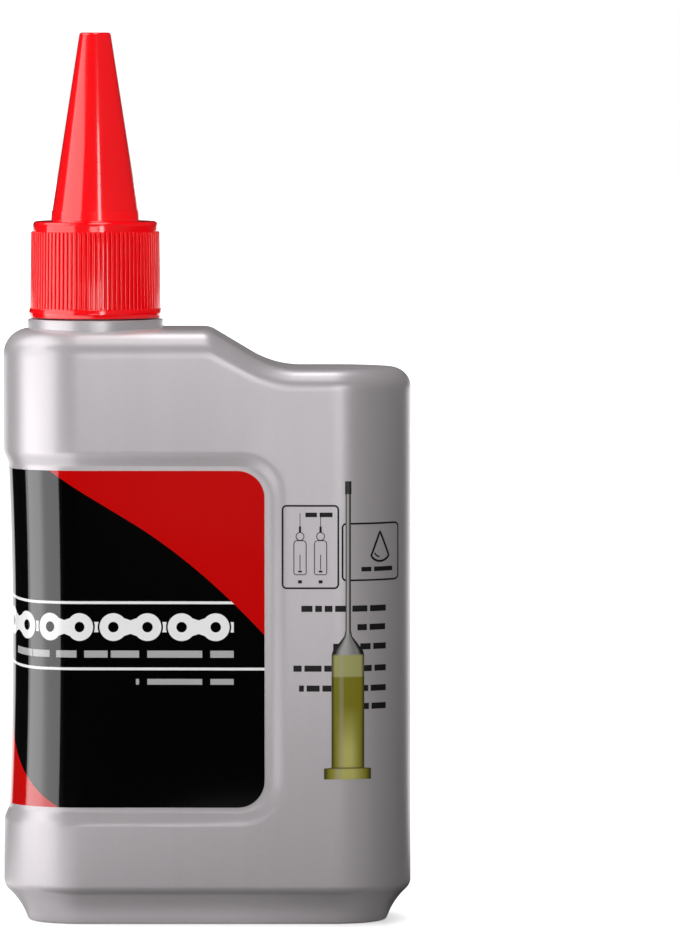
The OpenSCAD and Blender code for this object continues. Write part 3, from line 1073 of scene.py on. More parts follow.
@dataclass
class BottleShell:
    """The blow-moulded bottle: body, label panel, collar and threaded neck."""

    form: BodyForm
    neck: Neck
    arc_steps: int = 40
    fine_step: float = 0.4
    coarse_step: float = 2.2
    lip: float = 0.4

    def ways(self) -> Array:
        """Ways along the outline from the near end to the far end.

        Returns:
            The sorted ways of the mesh's columns, with the seam's own.
        """
        f = self.form
        seam = [0.0, f.seam_half_w, 2 * f.seam_half_w, f.flat_y]
        near = np.linspace(f.flat_y, f.near_arc, self.arc_steps + 1)[1:]
        fine_from = f.near_arc + f.slope_x + f.flat_x - self.lip
        fine_to = f.near_arc + f.flat_x + f.slope_x + f.slope_w + self.lip
        flat_end = f.near_arc + 2 * f.flat_x
        before = np.arange(f.near_arc, fine_from, self.coarse_step)[1:]
        fine = np.linspace(fine_from, fine_to, int((fine_to - fine_from) / self.fine_step))
        after = np.linspace(fine_to, flat_end, 4)[1:]
        far = flat_end + np.linspace(0, f.end_r * math.pi / 2, self.arc_steps + 1)[1:]
        end = far[-1] + f.flat_y - np.array([2 * f.seam_half_w, f.seam_half_w, 0.0])
        return np.concatenate([seam, near, before, fine, after, far, end])

    def ring_solid(self, name: str, rings: list[Array], rise: float) -> Any:
        """A closed solid from rings of front and back columns.

        Args:
            name: Name of the object.
            rings: Rings from the bottom up; each runs from the far end along the
                front to the near end and back along the rear.
            rise: Height of the moulding seam across its two lids.

        Returns:
            The mesh object.
        """
        n = len(rings[0])
        points = [tuple(p) for ring in rings for p in ring]
        faces = sides(len(rings), n)
        reach = 2 * self.form.seam_half_w
        for base, up in ((0, -1), ((len(rings) - 1) * n, 1)):
            strips = [[base] * 5]
            for j in range(1, n // 2):
                x, y, z = points[base + j]
                added = range(len(points), len(points) + 3)
                strips.append([base + j, *added, base + n - j])
                for place, lift in ((-reach, 0.0), (0.0, rise * up), (reach, 0.0)):
                    points.append((x, max(min(place, -y), y), z + lift))
            strips.append([base + n // 2] * 5)
            for now, then in zip(strips, strips[1:]):
                for a in range(4):
                    face = list(dict.fromkeys((now[a], then[a], then[a + 1], now[a + 1])))
                    if len(face) > 2:
                        faces.append(face[::up])
        return new_mesh(name, np.array(points), [face[::-1] for face in faces])

    def columns(self, seam: float) -> tuple[Array, Array, Array, Array, Array]:
        """Columns of the whole outline from the far end round the front.

        Args:
            seam: How far the moulding seam stands out at the two ends.

        Returns:
            x, y, normal x, normal y and the way of each column.
        """
        ways = self.ways()[::-1]
        front = (*self.form.outline(ways), ways)
        x, y, nx, ny, s = (np.concatenate([c, c[-2:0:-1]]) for c in front)
        back = np.arange(len(s)) >= len(ways)
        y, ny = np.where(back, -y, y), np.where(back, -ny, ny)
        x = np.where(np.abs(y) < 1e-6, x + np.sign(x) * seam, x)
        return x, y, nx, ny, s

    def sink(self, columns: tuple[Array, ...], inset: Array | float, z: Any) -> Array:
        """A ring of points sunk below the outline.

        Args:
            columns: The outline's columns.
            inset: Depth of each point below the outline.
            z: Height of the ring, or of each point.

        Returns:
            The points.
        """
        x, y, nx, ny, _ = columns
        deep = inset + self.form.skin_back
        return np.stack([x - nx * deep, y - ny * deep, np.broadcast_to(z, x.shape)], -1)

    def heights(self, rim: int, corner: int, waist: int) -> Array:
        """Heights of the rings between the foot and the shoulder.

        Args:
            rim: Segments over each rim of the label's panel.
            corner: Segments over its corners.
            waist: Segments between them.

        Returns:
            The sorted heights.
        """
        f = self.form
        low, high, r, rim_w = f.panel_low, f.panel_high, f.panel_corner_r, f.panel_rim_w
        rise = r * (1 - np.cos(np.radians(np.linspace(0, 90, corner + 1))))
        parts = [
            np.linspace(low - rim_w, low, rim + 1),
            low + rise,
            np.linspace(low + r, high - r, waist + 1),
            high - rise[::-1],
            np.linspace(high, high + rim_w, rim + 1),
        ]
        return np.unique(np.round(np.concatenate(parts), 5))

    def shoulder(self, columns: tuple[Array, ...], skin: float, steps: int) -> list[Array]:
        """Rings of the fillet between the sides and the shoulder.

        Args:
            columns: The outline's columns.
            skin: How far the rings lie inside the outer skin.
            steps: Segments over the fillet.

        Returns:
            The rings from the bottom up.
        """
        f = self.form
        radius = f.fillet_at(columns[0]) - skin
        top = f.top_z(columns[0]) - skin
        rings = [self.sink(columns, skin, top - radius - self.lip)]
        for a in np.linspace(0, QUARTER, steps + 1):
            inset, drop = skin + radius * (1 - math.cos(a)), radius * (1 - math.sin(a))
            rings.append(self.sink(columns, inset, top - drop))
        return [*rings, self.sink(columns, skin + radius + 0.25, top)]

    def outer(self) -> Any:
        """The outer skin as a closed solid.

        Returns:
            The mesh object, which becomes the shell.
        """
        f = self.form
        columns = self.columns(f.seam_out)
        profile = f.foot_profile(7)
        ring = profile[-1][0] + f.foot_ring_w
        under = [
            (ring + f.base_hollow + 0.3, f.base_hollow), (ring + f.base_hollow, f.base_hollow),
            (ring, 0.0), *reversed(profile), (0.0, f.foot_h + self.lip),
        ]
        under += [(f.panel_inset(columns[4], z), z) for z in self.heights(8, 9, 16)]
        rings = [self.sink(columns, inset, z) for inset, z in under]
        rings += self.shoulder(columns, 0.0, 12)
        return self.ring_solid("bottle_shell", rings, f.seam_out)

    def inner(self) -> Any:
        """The cavity as a closed solid.

        Returns:
            The mesh object.
        """
        f = self.form
        columns = self.columns(0.0)
        insets, levels = np.array(f.foot_profile(4))[::-1].T
        low = [
            (float(np.interp(z, levels, insets)) + 1.2 * f.wall, z)
            for z in np.linspace(f.base_hollow + f.wall, f.foot_h + f.wall, 4)
        ]
        low += [(f.panel_inset(columns[4], z) + f.wall, z) for z in self.heights(3, 3, 5)]
        rings = [self.sink(columns, inset, z) for inset, z in low]
        rings += self.shoulder(columns, f.wall, 5)
        return self.ring_solid("cavity", rings, 0.0)

    def build(self) -> Any:
        """Builds the shell.

        Returns:
            The finished piece.
        """
        f, n = self.form, self.neck
        shell = self.outer()
        base = f.shoulder_h + n.collar_h
        top = base + n.height
        low, high = f.shoulder_h - f.wall - n.overlap, top + n.overlap
        collar = rounded(
            [
                (0.0, f.shoulder_h - n.overlap, 0.0),
                (n.collar_r, f.shoulder_h - n.overlap, 0.0),
                (n.collar_r, base, n.edge_r),
                (n.radius, base, n.root_r),
                (n.radius, top, n.edge_r),
                (0.0, top, 0.0),
            ]
        )
        root, crest = n.radius - n.thread_sunk, n.radius + n.thread_depth
        thread = Thread("neck_thread", root, crest, base + n.thread_z, n.thread_turns)
        bore = [(0.0, low), (n.bore_r, low), (n.bore_r, high), (0.0, high)]
        carve(shell, lathe("collar", collar, f.neck_x, n.steps), Cut.ADD)
        carve(shell, thread.ridge(f.neck_x), Cut.ADD)
        carve(shell, self.inner(), Cut.TAKE)
        carve(shell, lathe("bore", bore, f.neck_x, n.steps), Cut.TAKE)
        sharpen(shell, 38)
        SILVER.dress(shell)
        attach(shell, "bottle_body")
        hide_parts("bottle")
        return shell


# Label and print


@dataclass
class SurfacePrint:
    """Thin slabs that lie on the body's side, such as the label or ink."""

    form: BodyForm
    low: float
    high: float

    def slab(self, grid: Array, closed: bool = False, across: Array | None = None) -> Slab:
        """A closed slab over a grid of places on the body's side.

        Args:
            grid: Places as (way, height), in rows and columns.
            closed: Whether the last row meets the first.
            across: Place of each column across the slab, from 0 to 1, for its own
                map; the way along the outline is used where this is None.

        Returns:
            Points, faces and the mapped place of each point.
        """
        m, n = grid.shape[:2]
        s, z = grid[..., 0], grid[..., 1]
        t = m * n
        skins = [self.form.surface(s, z, h).reshape(-1, 3) for h in (self.low, self.high)]

        def at(i: int, j: int) -> int:
            """Number of the grid's point in row i and column j."""
            return (i % m) * n + j

        def edge(a: int, b: int, turn: int) -> Face:
            """Face between the two skins along one edge of the grid."""
            return (a, t + a, t + b, b)[::turn]

        faces: list[Face] = []
        for i in range(m if closed else m - 1):
            for j in range(n - 1):
                a, b, c, d = at(i, j), at(i, j + 1), at(i + 1, j + 1), at(i + 1, j)
                faces += [(t + a, t + b, t + c, t + d), (d, c, b, a)]
            faces += [edge(at(i, j), at(i + 1, j), turn) for j, turn in ((0, 1), (n - 1, -1))]
        for i, turn in () if closed else ((0, -1), (m - 1, 1)):
            faces += [edge(at(i, j), at(i, j + 1), turn) for j in range(n - 1)]
        wide = s / MAP_SCALE + 0.5 if across is None else np.broadcast_to(across, s.shape)
        uv = np.stack([wide, z / MAP_SCALE], -1).reshape(-1, 2)
        return np.concatenate(skins), faces, np.concatenate([uv, uv])

    def piece(self, name: str, slabs: list[Slab], finish: Finish) -> Any:
        """Joins slabs into one piece that rides on the bottle.

        Args:
            name: Name of the piece.
            slabs: The slabs' points, faces and mapped places.
            finish: The piece's finish.

        Returns:
            The piece.
        """
        faces: list[Face] = []
        count = 0
        for points, own, _ in slabs:
            faces += [tuple(i + count for i in face) for face in own]
            count += len(points)
        piece = new_mesh(name, np.concatenate([slab[0] for slab in slabs]), faces)
        layer = piece.data.uv_layers.new(name=FILM_MAP)
        corner = np.empty(len(piece.data.loops), np.int32)
        piece.data.loops.foreach_get("vertex_index", corner)
        places = np.concatenate([slab[2] for slab in slabs])
        layer.data.foreach_set("uv", places[corner].ravel())
        sharpen(piece, 40)
        finish.dress(piece)
        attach(piece, "bottle_body")
        return piece


@dataclass
class WrapLabel:
    """The film that wraps the near end from the front to the back."""

    form: BodyForm
    corner_steps: int = 12
    rows: int = 38

    def build(self) -> Any:
        """Builds the label.

        Returns:
            The finished piece.
        """
        f, r = self.form, self.form.label_corner_r
        turn = np.radians(np.linspace(0, 90, self.corner_steps + 1))
        lift, draw = r * (1 - np.cos(turn)), r * (1 - np.sin(turn))
        middle = np.linspace(r, f.label_h - r, self.rows + 2)[1:-1]
        z = f.label_z + np.concatenate([lift, middle, f.label_h - lift[::-1]])
        inset = np.concatenate([draw, np.zeros(self.rows), draw[::-1]])
        flat = np.linspace(f.near_arc, f.label_edge, 34)[1:]
        half = np.concatenate([np.linspace(0, 1, 30) * f.near_arc, flat])
        ways = np.concatenate([-half[:0:-1], half])
        past = np.clip((np.abs(ways) - f.near_arc) / (f.label_edge - f.near_arc), 0, 1)
        grid = np.empty((len(z), len(ways), 2))
        grid[..., 0] = ways - np.sign(ways) * past * inset[:, None]
        grid[..., 1] = z[:, None]
        film = SurfacePrint(f, -f.label_t / 2, f.label_gap)
        label = film.piece("wrap_film", [film.slab(grid)], FILM)
        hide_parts("wrap_label")
        return label


@dataclass
class PanelPrint:
    """Ink on the bare front panel: two frames, pictograms, plain bars, a picture.

    Lines of bars are (left end, right end, height), and the picture's stations are
    (height, half its width).
    """

    form: BodyForm
    low: float = -0.02
    high: float = 0.025
    picture_rise: float = 0.012
    picture_x: float = 22.05
    line_w: float = 0.28
    fine_w: float = 0.13
    frame_corner: float = 0.6
    step: float = 0.45
    bar_gap: float = 0.42
    frames: tuple[tuple[float, ...], ...] = ((11.85, 20.5, 52.7, 65.5), (21.16, 29.8, 53.9, 62.7))
    bottles_x: tuple[float, ...] = (14.56, 17.75)
    lines: tuple[tuple[float, float, float], ...] = (
        (13.8, 27.9, 49.5), (22.8, 27.8, 46.6), (19.7, 27.9, 43.6),
        (13.3, 27.9, 40.2), (14.4, 27.9, 37.1), (20.3, 27.9, 34.3),
    )
    stations: tuple[Point, ...] = (
        (69.3, 0.5), (67.3, 0.5), (67.2, 0.42), (46.2, 0.42), (45.2, 0.62), (43.0, 2.4),
        (42.3, 2.62), (38.9, 2.62), (24.75, 2.62), (24.65, 3.8), (22.95, 3.8),
    )

    def ribbon(self, points: Sequence[Point], width: float, closed: bool = False) -> Slab:
        """A slab along a line on the front.

        Args:
            points: The line's (x, height) points, x as seen from the front.
            width: Width of the line.
            closed: Whether it meets its start.

        Returns:
            The slab.
        """
        line = [np.array([self.form.front_way(x), z]) for x, z in points]
        if closed:
            line.append(line[0])
        fine = [line[0]]
        for a, b in zip(line, line[1:]):
            count = max(1, int(np.linalg.norm(b - a) / self.step))
            fine += [a + (b - a) * k / count for k in range(1, count + 1)]
        p = np.array(fine[:-1] if closed else fine)
        along = np.roll(p, -1, 0) - np.roll(p, 1, 0) if closed else np.gradient(p, axis=0)
        along /= np.linalg.norm(along, axis=1)[:, None]
        side = np.stack([-along[:, 1], along[:, 0]], -1) * width / 2
        ink = SurfacePrint(self.form, self.low, self.high)
        return ink.slab(np.stack([p + side, p - side], 1), closed)

    def frame(self, x0: float, x1: float, z0: float, z1: float) -> Slab:
        """A rounded frame line.

        Args:
            x0: Its left side.
            x1: Its right side.
            z0: Its lower side.
            z1: Its upper side.

        Returns:
            The slab.
        """
        r = self.frame_corner
        corners = ((x1 - r, z1 - r), (x1 - r, z0 + r), (x0 + r, z0 + r), (x0 + r, z1 - r))
        starts = (90, 0, -90, 180)
        points = [p for c, a in zip(corners, starts) for p in arc(c, r, a, a - 90, 5)]
        return self.ribbon(points, self.line_w, True)

    def bars(
        self, x0: float, x1: float, z: float, height: float, draw: random.Random
    ) -> list[Slab]:
        """A line of plain bars of uneven lengths.

        Args:
            x0: Left end of the line.
            x1: Right end of the line.
            z: Height of its middle.
            height: Height of the bars.
            draw: Source of the lengths.

        Returns:
            The slabs.
        """
        found = []
        x = x1
        while x > x0 + 0.7:
            length = min(draw.uniform(1.0, 2.9), x - x0)
            found.append(self.ribbon([(x - length, z), (x, z)], height))
            x -= length + self.bar_gap
        return found

    def small_bottle(self, x: float) -> list[Slab]:
        """Outline of a small oiler with a ball cap and a needle.

        Args:
            x: Place of its middle.

        Returns:
            The slabs.
        """
        body = [
            *arc((x - 0.45, 59.6), 0.5, 180, 90, 3), *arc((x + 0.45, 59.6), 0.5, 90, 0, 3),
            *arc((x + 0.65, 55.1), 0.3, 0, -90, 2), *arc((x - 0.65, 55.1), 0.3, -90, -180, 2),
        ]
        ball = arc((x, 60.75), 0.62, 90, -270, 16)[:-1]
        strokes = ((61.4, 62.3, 0.34), (62.3, 64.4, 0.1), (55.6, 57.9, 0.12))
        return [
            *(self.ribbon(outline, self.fine_w, True) for outline in (body, ball)),
            *(self.ribbon([(x, low), (x, high)], width) for low, high, width in strokes),
            self.ribbon([(x - 0.28, 55.3), (x + 0.28, 55.3)], 0.3),
        ]

    def drop(self, x: float, z: float, size: float) -> list[Slab]:
        """Outline of an oil drop with a glint.

        Args:
            x: Place of its middle.
            z: Height of its round part's middle.
            size: Radius of that part.

        Returns:
            The slabs.
        """
        outline = [(x, z + size * 2.1), *arc((x, z), size, 205, 335, 16)]
        glint = arc((x, z), size * 0.55, 195, 265, 6)
        return [self.ribbon(outline, 0.34, True), self.ribbon(glint, 0.24)]

    def picture(self) -> Any:
        """The printed picture of a needle oiler.

        Returns:
            The picture's piece.
        """
        spots: list[Point] = []
        for (z0, w0), (z1, w1) in zip(self.stations, self.stations[1:]):
            count = max(1, int(abs(z1 - z0) / 0.8))
            spots += [(mix(z0, z1, k / count), mix(w0, w1, k / count)) for k in range(count)]
        z, half = np.array([*spots, self.stations[-1]]).T
        share = np.linspace(0, 1, 13)
        grid = np.empty((len(z), len(share), 2))
        grid[..., 0] = self.form.front_way(self.picture_x) + (share * 2 - 1) * half[:, None]
        grid[..., 1] = z[:, None]
        ink = SurfacePrint(self.form, self.low, self.high + self.picture_rise)
        return ink.piece("oiler_picture", [ink.slab(grid[::-1], across=share)], PICTURE)

    def build(self) -> list[Any]:
        """Builds the print.

        Returns:
            The ink's piece and the picture's piece.
        """
        draw = random.Random(17)
        slabs = [self.frame(*corners) for corners in self.frames]
        for x in self.bottles_x:
            slabs += self.small_bottle(x)
        slabs += self.bars(15.4, 19.6, 64.1, 0.7, draw)
        slabs += [self.ribbon([(x - 0.3, 53.7), (x + 0.3, 53.7)], 0.5) for x in self.bottles_x]
        slabs += self.drop(27.0, 58.3, 1.5)
        slabs += self.bars(23.4, 28.9, 55.6, 0.7, draw)
        for line in self.lines:
            slabs += self.bars(*line, 0.95, draw)
        ink = SurfacePrint(self.form, self.low, self.high)
        return [ink.piece("panel_ink", slabs, INK), self.picture()]


# The cap


@dataclass(frozen=True)
class CapSizes:
    """Sizes of the screw cap."""

    low: float = 94.3
    bore_r: float = 8.6
    rib_root_r: float = 9.9
    rib_r: float = 10.2
    rib_count: int = 84
    rib_land: float = 0.66
    rib_foot: float = 0.84
    rib_edge_r: float = 0.11
    flare: float = 0.17
    bead_r: float = 10.4
    bead_h: float = 1.5
    band_h: float = 1.6
    roof_under: float = 108.16
    roof_top: float = 109.36
    edge_r: float = 0.7
    cone_r: float = 6.9
    cone_tip_r: float = 2.4
    cone_h: float = 29.4
    cone_wall: float = 0.9
    tip_edge_r: float = 0.5
    cone_ring_h: float = 1.6
    cone_step: float = 0.1
    wall_taper: float = 0.14
    pin_r: float = 0.47
    pin_low: float = 136.26
    thread_sunk: float = 0.2
    thread_crest_r: float = 7.7
    thread_low: float = 96.0
    thread_turns: float = 1.25
    steps: int = 192


@dataclass
class NozzleCap:
    """The screw cap with its ribbed skirt and long cone."""

    form: BodyForm
    sizes: CapSizes

    def profile(self) -> list[Point]:
        """The cap's whole section, from the pin up inside and back over the tip.

        Returns:
            The (radius, height) pairs, closed on the axis at both ends.
        """
        c = self.sizes
        top, high = c.roof_top + c.cone_h, c.low + c.bead_h
        ring, neck = c.cone_r - c.cone_step, c.rib_root_r - c.flare
        outside = [
            (0.0, top, 0.0),
            (c.cone_tip_r, top, c.tip_edge_r),
            (ring - c.cone_step, c.roof_top + c.cone_ring_h, 0.0),
            (ring, c.roof_top + c.cone_ring_h, 0.05),
            (c.cone_r, c.roof_top, 0.25),
            (neck - 0.02, c.roof_top, c.edge_r),
            (neck + 0.03, c.roof_top - c.band_h + 0.05, 0.6),
            (neck, c.roof_top - c.band_h - 0.05, 0.0),
            (c.rib_root_r, high, 0.08),
            (c.bead_r - 0.12, high, 0.25),
            (c.bead_r, (high + c.low) / 2, 0.9),
            (c.bead_r - 0.14, c.low, 0.25),
            (c.bore_r, c.low, 0.2),
            (c.bore_r, c.roof_under, 0.2),
            (c.cone_r - c.cone_wall, c.roof_under, 0.15),
            (c.cone_tip_r - c.cone_wall + c.wall_taper, top - c.cone_wall, 0.0),
            (c.pin_r, top - c.cone_wall, 0.0),
            (c.pin_r, c.pin_low, 0.12),
            (0.0, c.pin_low, 0.0),
        ]
        return rounded(outside, 6)[::-1]

    def shoulder(self, land: float, height: float, side: int) -> list[Point]:
        """Rounded shoulder of a rib's section, from left to right.

        Args:
            land: Place of the land's edge across the rib.
            height: Height of the land.
            side: -1 for the left shoulder and 1 for the right one.

        Returns:
            The shoulder's points.
        """
        r = self.sizes.rib_edge_r
        middle = land - side * r
        turns = (math.radians(t) for t in ((180, 150, 120, 90) if side < 0 else (90, 60, 30, 0)))
        return [(middle + r * math.cos(t), height - r + r * math.sin(t)) for t in turns]

    def rib(self) -> tuple[Array, list[Face]]:
        """One grip rib around the cap's axis: a flat land with rounded shoulders.

        Returns:
            Its points in millimetres and its faces.
        """
        c = self.sizes
        pitch = 2 * math.pi * c.rib_r / c.rib_count
        low, high = c.low + c.bead_h - 0.3, c.roof_top - c.band_h
        land, foot = c.rib_land * pitch / 2, c.rib_foot * pitch / 2
        height, neck = c.rib_r - c.rib_root_r, c.rib_root_r - c.flare
        section = [(-foot, -0.15), (-foot, 0.0), *self.shoulder(-land, height, -1)]
        section += [*self.shoulder(land, height, 1), (foot, 0.0), (foot, -0.15)]
        rows = (
            (low, c.rib_root_r, 1.0),
            (high - 0.18, c.rib_root_r - c.flare * 0.95, 1.0),
            (high - 0.06, neck, 0.85),
            (high, neck, 0.45),
        )
        points = [
            (root + y * (share if y > 0 else 1.0), x, z)
            for z, root, share in rows
            for x, y in section
        ]
        return np.array(points), tube(len(rows), len(section))

    def ribs(self) -> Any:
        """The grip ribs, set around the skirt by a node tree.

        Returns:
            The ribs' piece.
        """
        inputs = {
            "Count": (self.sizes.rib_count, "NodeSocketInt"),
            "Axis": ((self.form.neck_x * MM, 0.0, 0.0), "NodeSocketVector"),
        }
        return RibTree("grip_ribs", inputs).grow(new_mesh("cap_ribs", *self.rib()), RED)

    def build(self) -> list[Any]:
        """Builds the cap.

        Returns:
            The cap's shell and its ribs.
        """
        c, x = self.sizes, self.form.neck_x
        cap = lathe("cap_shell", self.profile(), x, c.steps)
        root = c.bore_r + c.thread_sunk
        thread = Thread("cap_thread", root, c.thread_crest_r, c.thread_low, c.thread_turns)
        carve(cap, thread.ridge(x), Cut.ADD)
        sharpen(cap, 40)
        RED.dress(cap)
        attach(cap, "cap")
        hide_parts("nozzle_cap")
        ribs = self.ribs()
        sharpen(ribs, 50)
        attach(ribs, "cap")
        return [cap, ribs]


class RibTree:
    """A node tree that repeats one rib in a ring around a vertical axis."""

    def __init__(self, name: str, inputs: dict[str, tuple[Any, str]]) -> None:
        """Makes the tree with its geometry sockets and its named inputs.

        Args:
            name: Name of the tree.
            inputs: Value and socket type by name.
        """
        self.tree = bpy.data.node_groups.new(name, "GeometryNodeTree")
        sockets = self.tree.interface
        for way in ("INPUT", "OUTPUT"):
            sockets.new_socket("Geometry", in_out=way, socket_type="NodeSocketGeometry")
        self.values: dict[str, Any] = {}
        for label, (value, kind) in inputs.items():
            socket = sockets.new_socket(label, in_out="INPUT", socket_type=kind)
            self.values[socket.identifier] = value

    def grow(self, piece: Any, finish: Finish) -> Any:
        """Builds the nodes and turns one rib's piece into the whole ring.

        Args:
            piece: The piece with one rib around the vertical through the origin.
            finish: The piece's finish, which the tree sets.

        Returns:
            The piece with its new plain mesh.
        """
        graph = Graph(self.tree)
        given = graph.node("NodeGroupInput").outputs
        rib, count, axis = (Wire(graph, given[name]) for name in ("Geometry", "Count", "Axis"))
        line = graph.out("GeometryNodeMeshLine", {"Count": count, "Offset": (0, 0, 0)})
        angle = graph.out("GeometryNodeInputIndex") * (2 * math.pi / count)
        turn = graph.out("ShaderNodeCombineXYZ", {"Z": angle})
        placed = {"Points": line, "Instance": rib, "Rotation": turn}
        ring = graph.out("GeometryNodeInstanceOnPoints", placed)
        moved = graph.out("GeometryNodeTransform", {"Geometry": ring, "Translation": axis})
        real = graph.out("GeometryNodeRealizeInstances", {0: moved})
        looks = {"Geometry": real, "Material": finish.material()}
        dressed = graph.out("GeometryNodeSetMaterial", looks)
        graph.node("NodeGroupOutput", {0: dressed})
        modifier = piece.modifiers.new(piece.name, "NODES")
        modifier.node_group = self.tree
        for identifier, value in self.values.items():
            modifier[identifier] = value
        bake_modifiers(piece)
        return piece


# The studio, in metres


class Lamp(Enum):
    """How a rectangle in the studio works on the light."""

    SHINES = "shines"
    BLOCKS = "blocks"


@dataclass(frozen=True)
class Panel:
    """A rectangular softbox or black flag that faces the bottle.

    The side is the angle to the left of the camera's side of the bottle.
    """

    name: str
    kind: Lamp
    side: float
    elevation: float
    distance: float
    width: float
    height: float
    radiance: float = 0.0
    aim: tuple[float, float, float] = (0.0, 0.0, 0.07)

    @property
    def away(self) -> Vector:
        """Direction from the aim to the panel."""
        a, e = math.radians(self.side), math.radians(self.elevation)
        return Vector((-math.sin(a) * math.cos(e), -math.cos(a) * math.cos(e), math.sin(e)))

    @property
    def middle(self) -> Vector:
        """Place of the panel's middle."""
        return Vector(self.aim) + self.away * self.distance

    def lamp(self) -> Any:
        """Sets the panel up as a lamp.

        Returns:
            The lamp's object.
        """
        data = bpy.data.lights.new(self.name, "AREA")
        data.shape = "RECTANGLE"
        data.size, data.size_y = self.width, self.height
        data.energy = self.radiance * math.pi * self.width * self.height
        lamp = linked(self.name, data)
        lamp.location = self.middle
        lamp.rotation_mode = "QUATERNION"
        lamp.rotation_quaternion = self.away.to_track_quat("Z", "Y")
        return lamp

    def flag(self) -> Any:
        """Sets the panel up as a black flag.

        Returns:
            The flag's object.
        """
        turn = self.away.to_track_quat("Z", "Y")
        points = [
            (self.middle + turn @ Vector((x * self.width / 2, y * self.height / 2, 0))) / MM
            for x, y in ((-1, -1), (1, -1), (1, 1), (-1, 1))
        ]
        flag = new_mesh(self.name, np.array(points), [(0, 1, 2, 3)])
        material, graph = new_material(self.name)
        graph.node("ShaderNodeOutputMaterial", {"Surface": graph.diffuse(grey(0.004))})
        flag.data.materials.append(material)
        flag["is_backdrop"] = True
        return flag

    def build(self) -> None:
        """Sets up the panel, which the camera doesn't see."""
        made = self.lamp() if self.kind is Lamp.SHINES else self.flag()
        made.visible_camera = False


PANELS = (
    Panel("left_softbox", Lamp.SHINES, 68.5, 0, 0.36, 0.41, 0.29, 1.95, (0, 0, 0.105)),
    Panel("left_high_softbox", Lamp.SHINES, 92, 44, 0.50, 0.50, 0.34, 2.1, (0, 0, 0.09)),
    Panel("top_softbox", Lamp.SHINES, 0, 98, 0.50, 0.12, 0.22, 5.0, (0.006, 0, 0.09)),
    Panel("crown_softbox", Lamp.SHINES, 0, 67, 0.50, 0.16, 0.26, 2.0, (0.006, 0, 0.09)),
    Panel("front_softbox", Lamp.SHINES, 2, 0, 1.20, 0.30, 0.22, 2.9, (0, 0, 0.175)),
    Panel("spot_softbox", Lamp.SHINES, -12.5, 0, 1.20, 0.16, 0.52, 6.5, (0, 0, 0.28)),
    Panel("rim_softbox", Lamp.SHINES, -162, 0, 0.70, 0.10, 0.17, 1.6, (0, 0, 0.055)),
    Panel("right_flag", Lamp.BLOCKS, -92, 0, 0.10, 0.12, 0.12, aim=(0.0, 0, 0.061)),
    Panel("low_flag", Lamp.BLOCKS, 0, 0, 0.25, 0.34, 0.045, aim=(0.0, 0, 0.0225)),
)


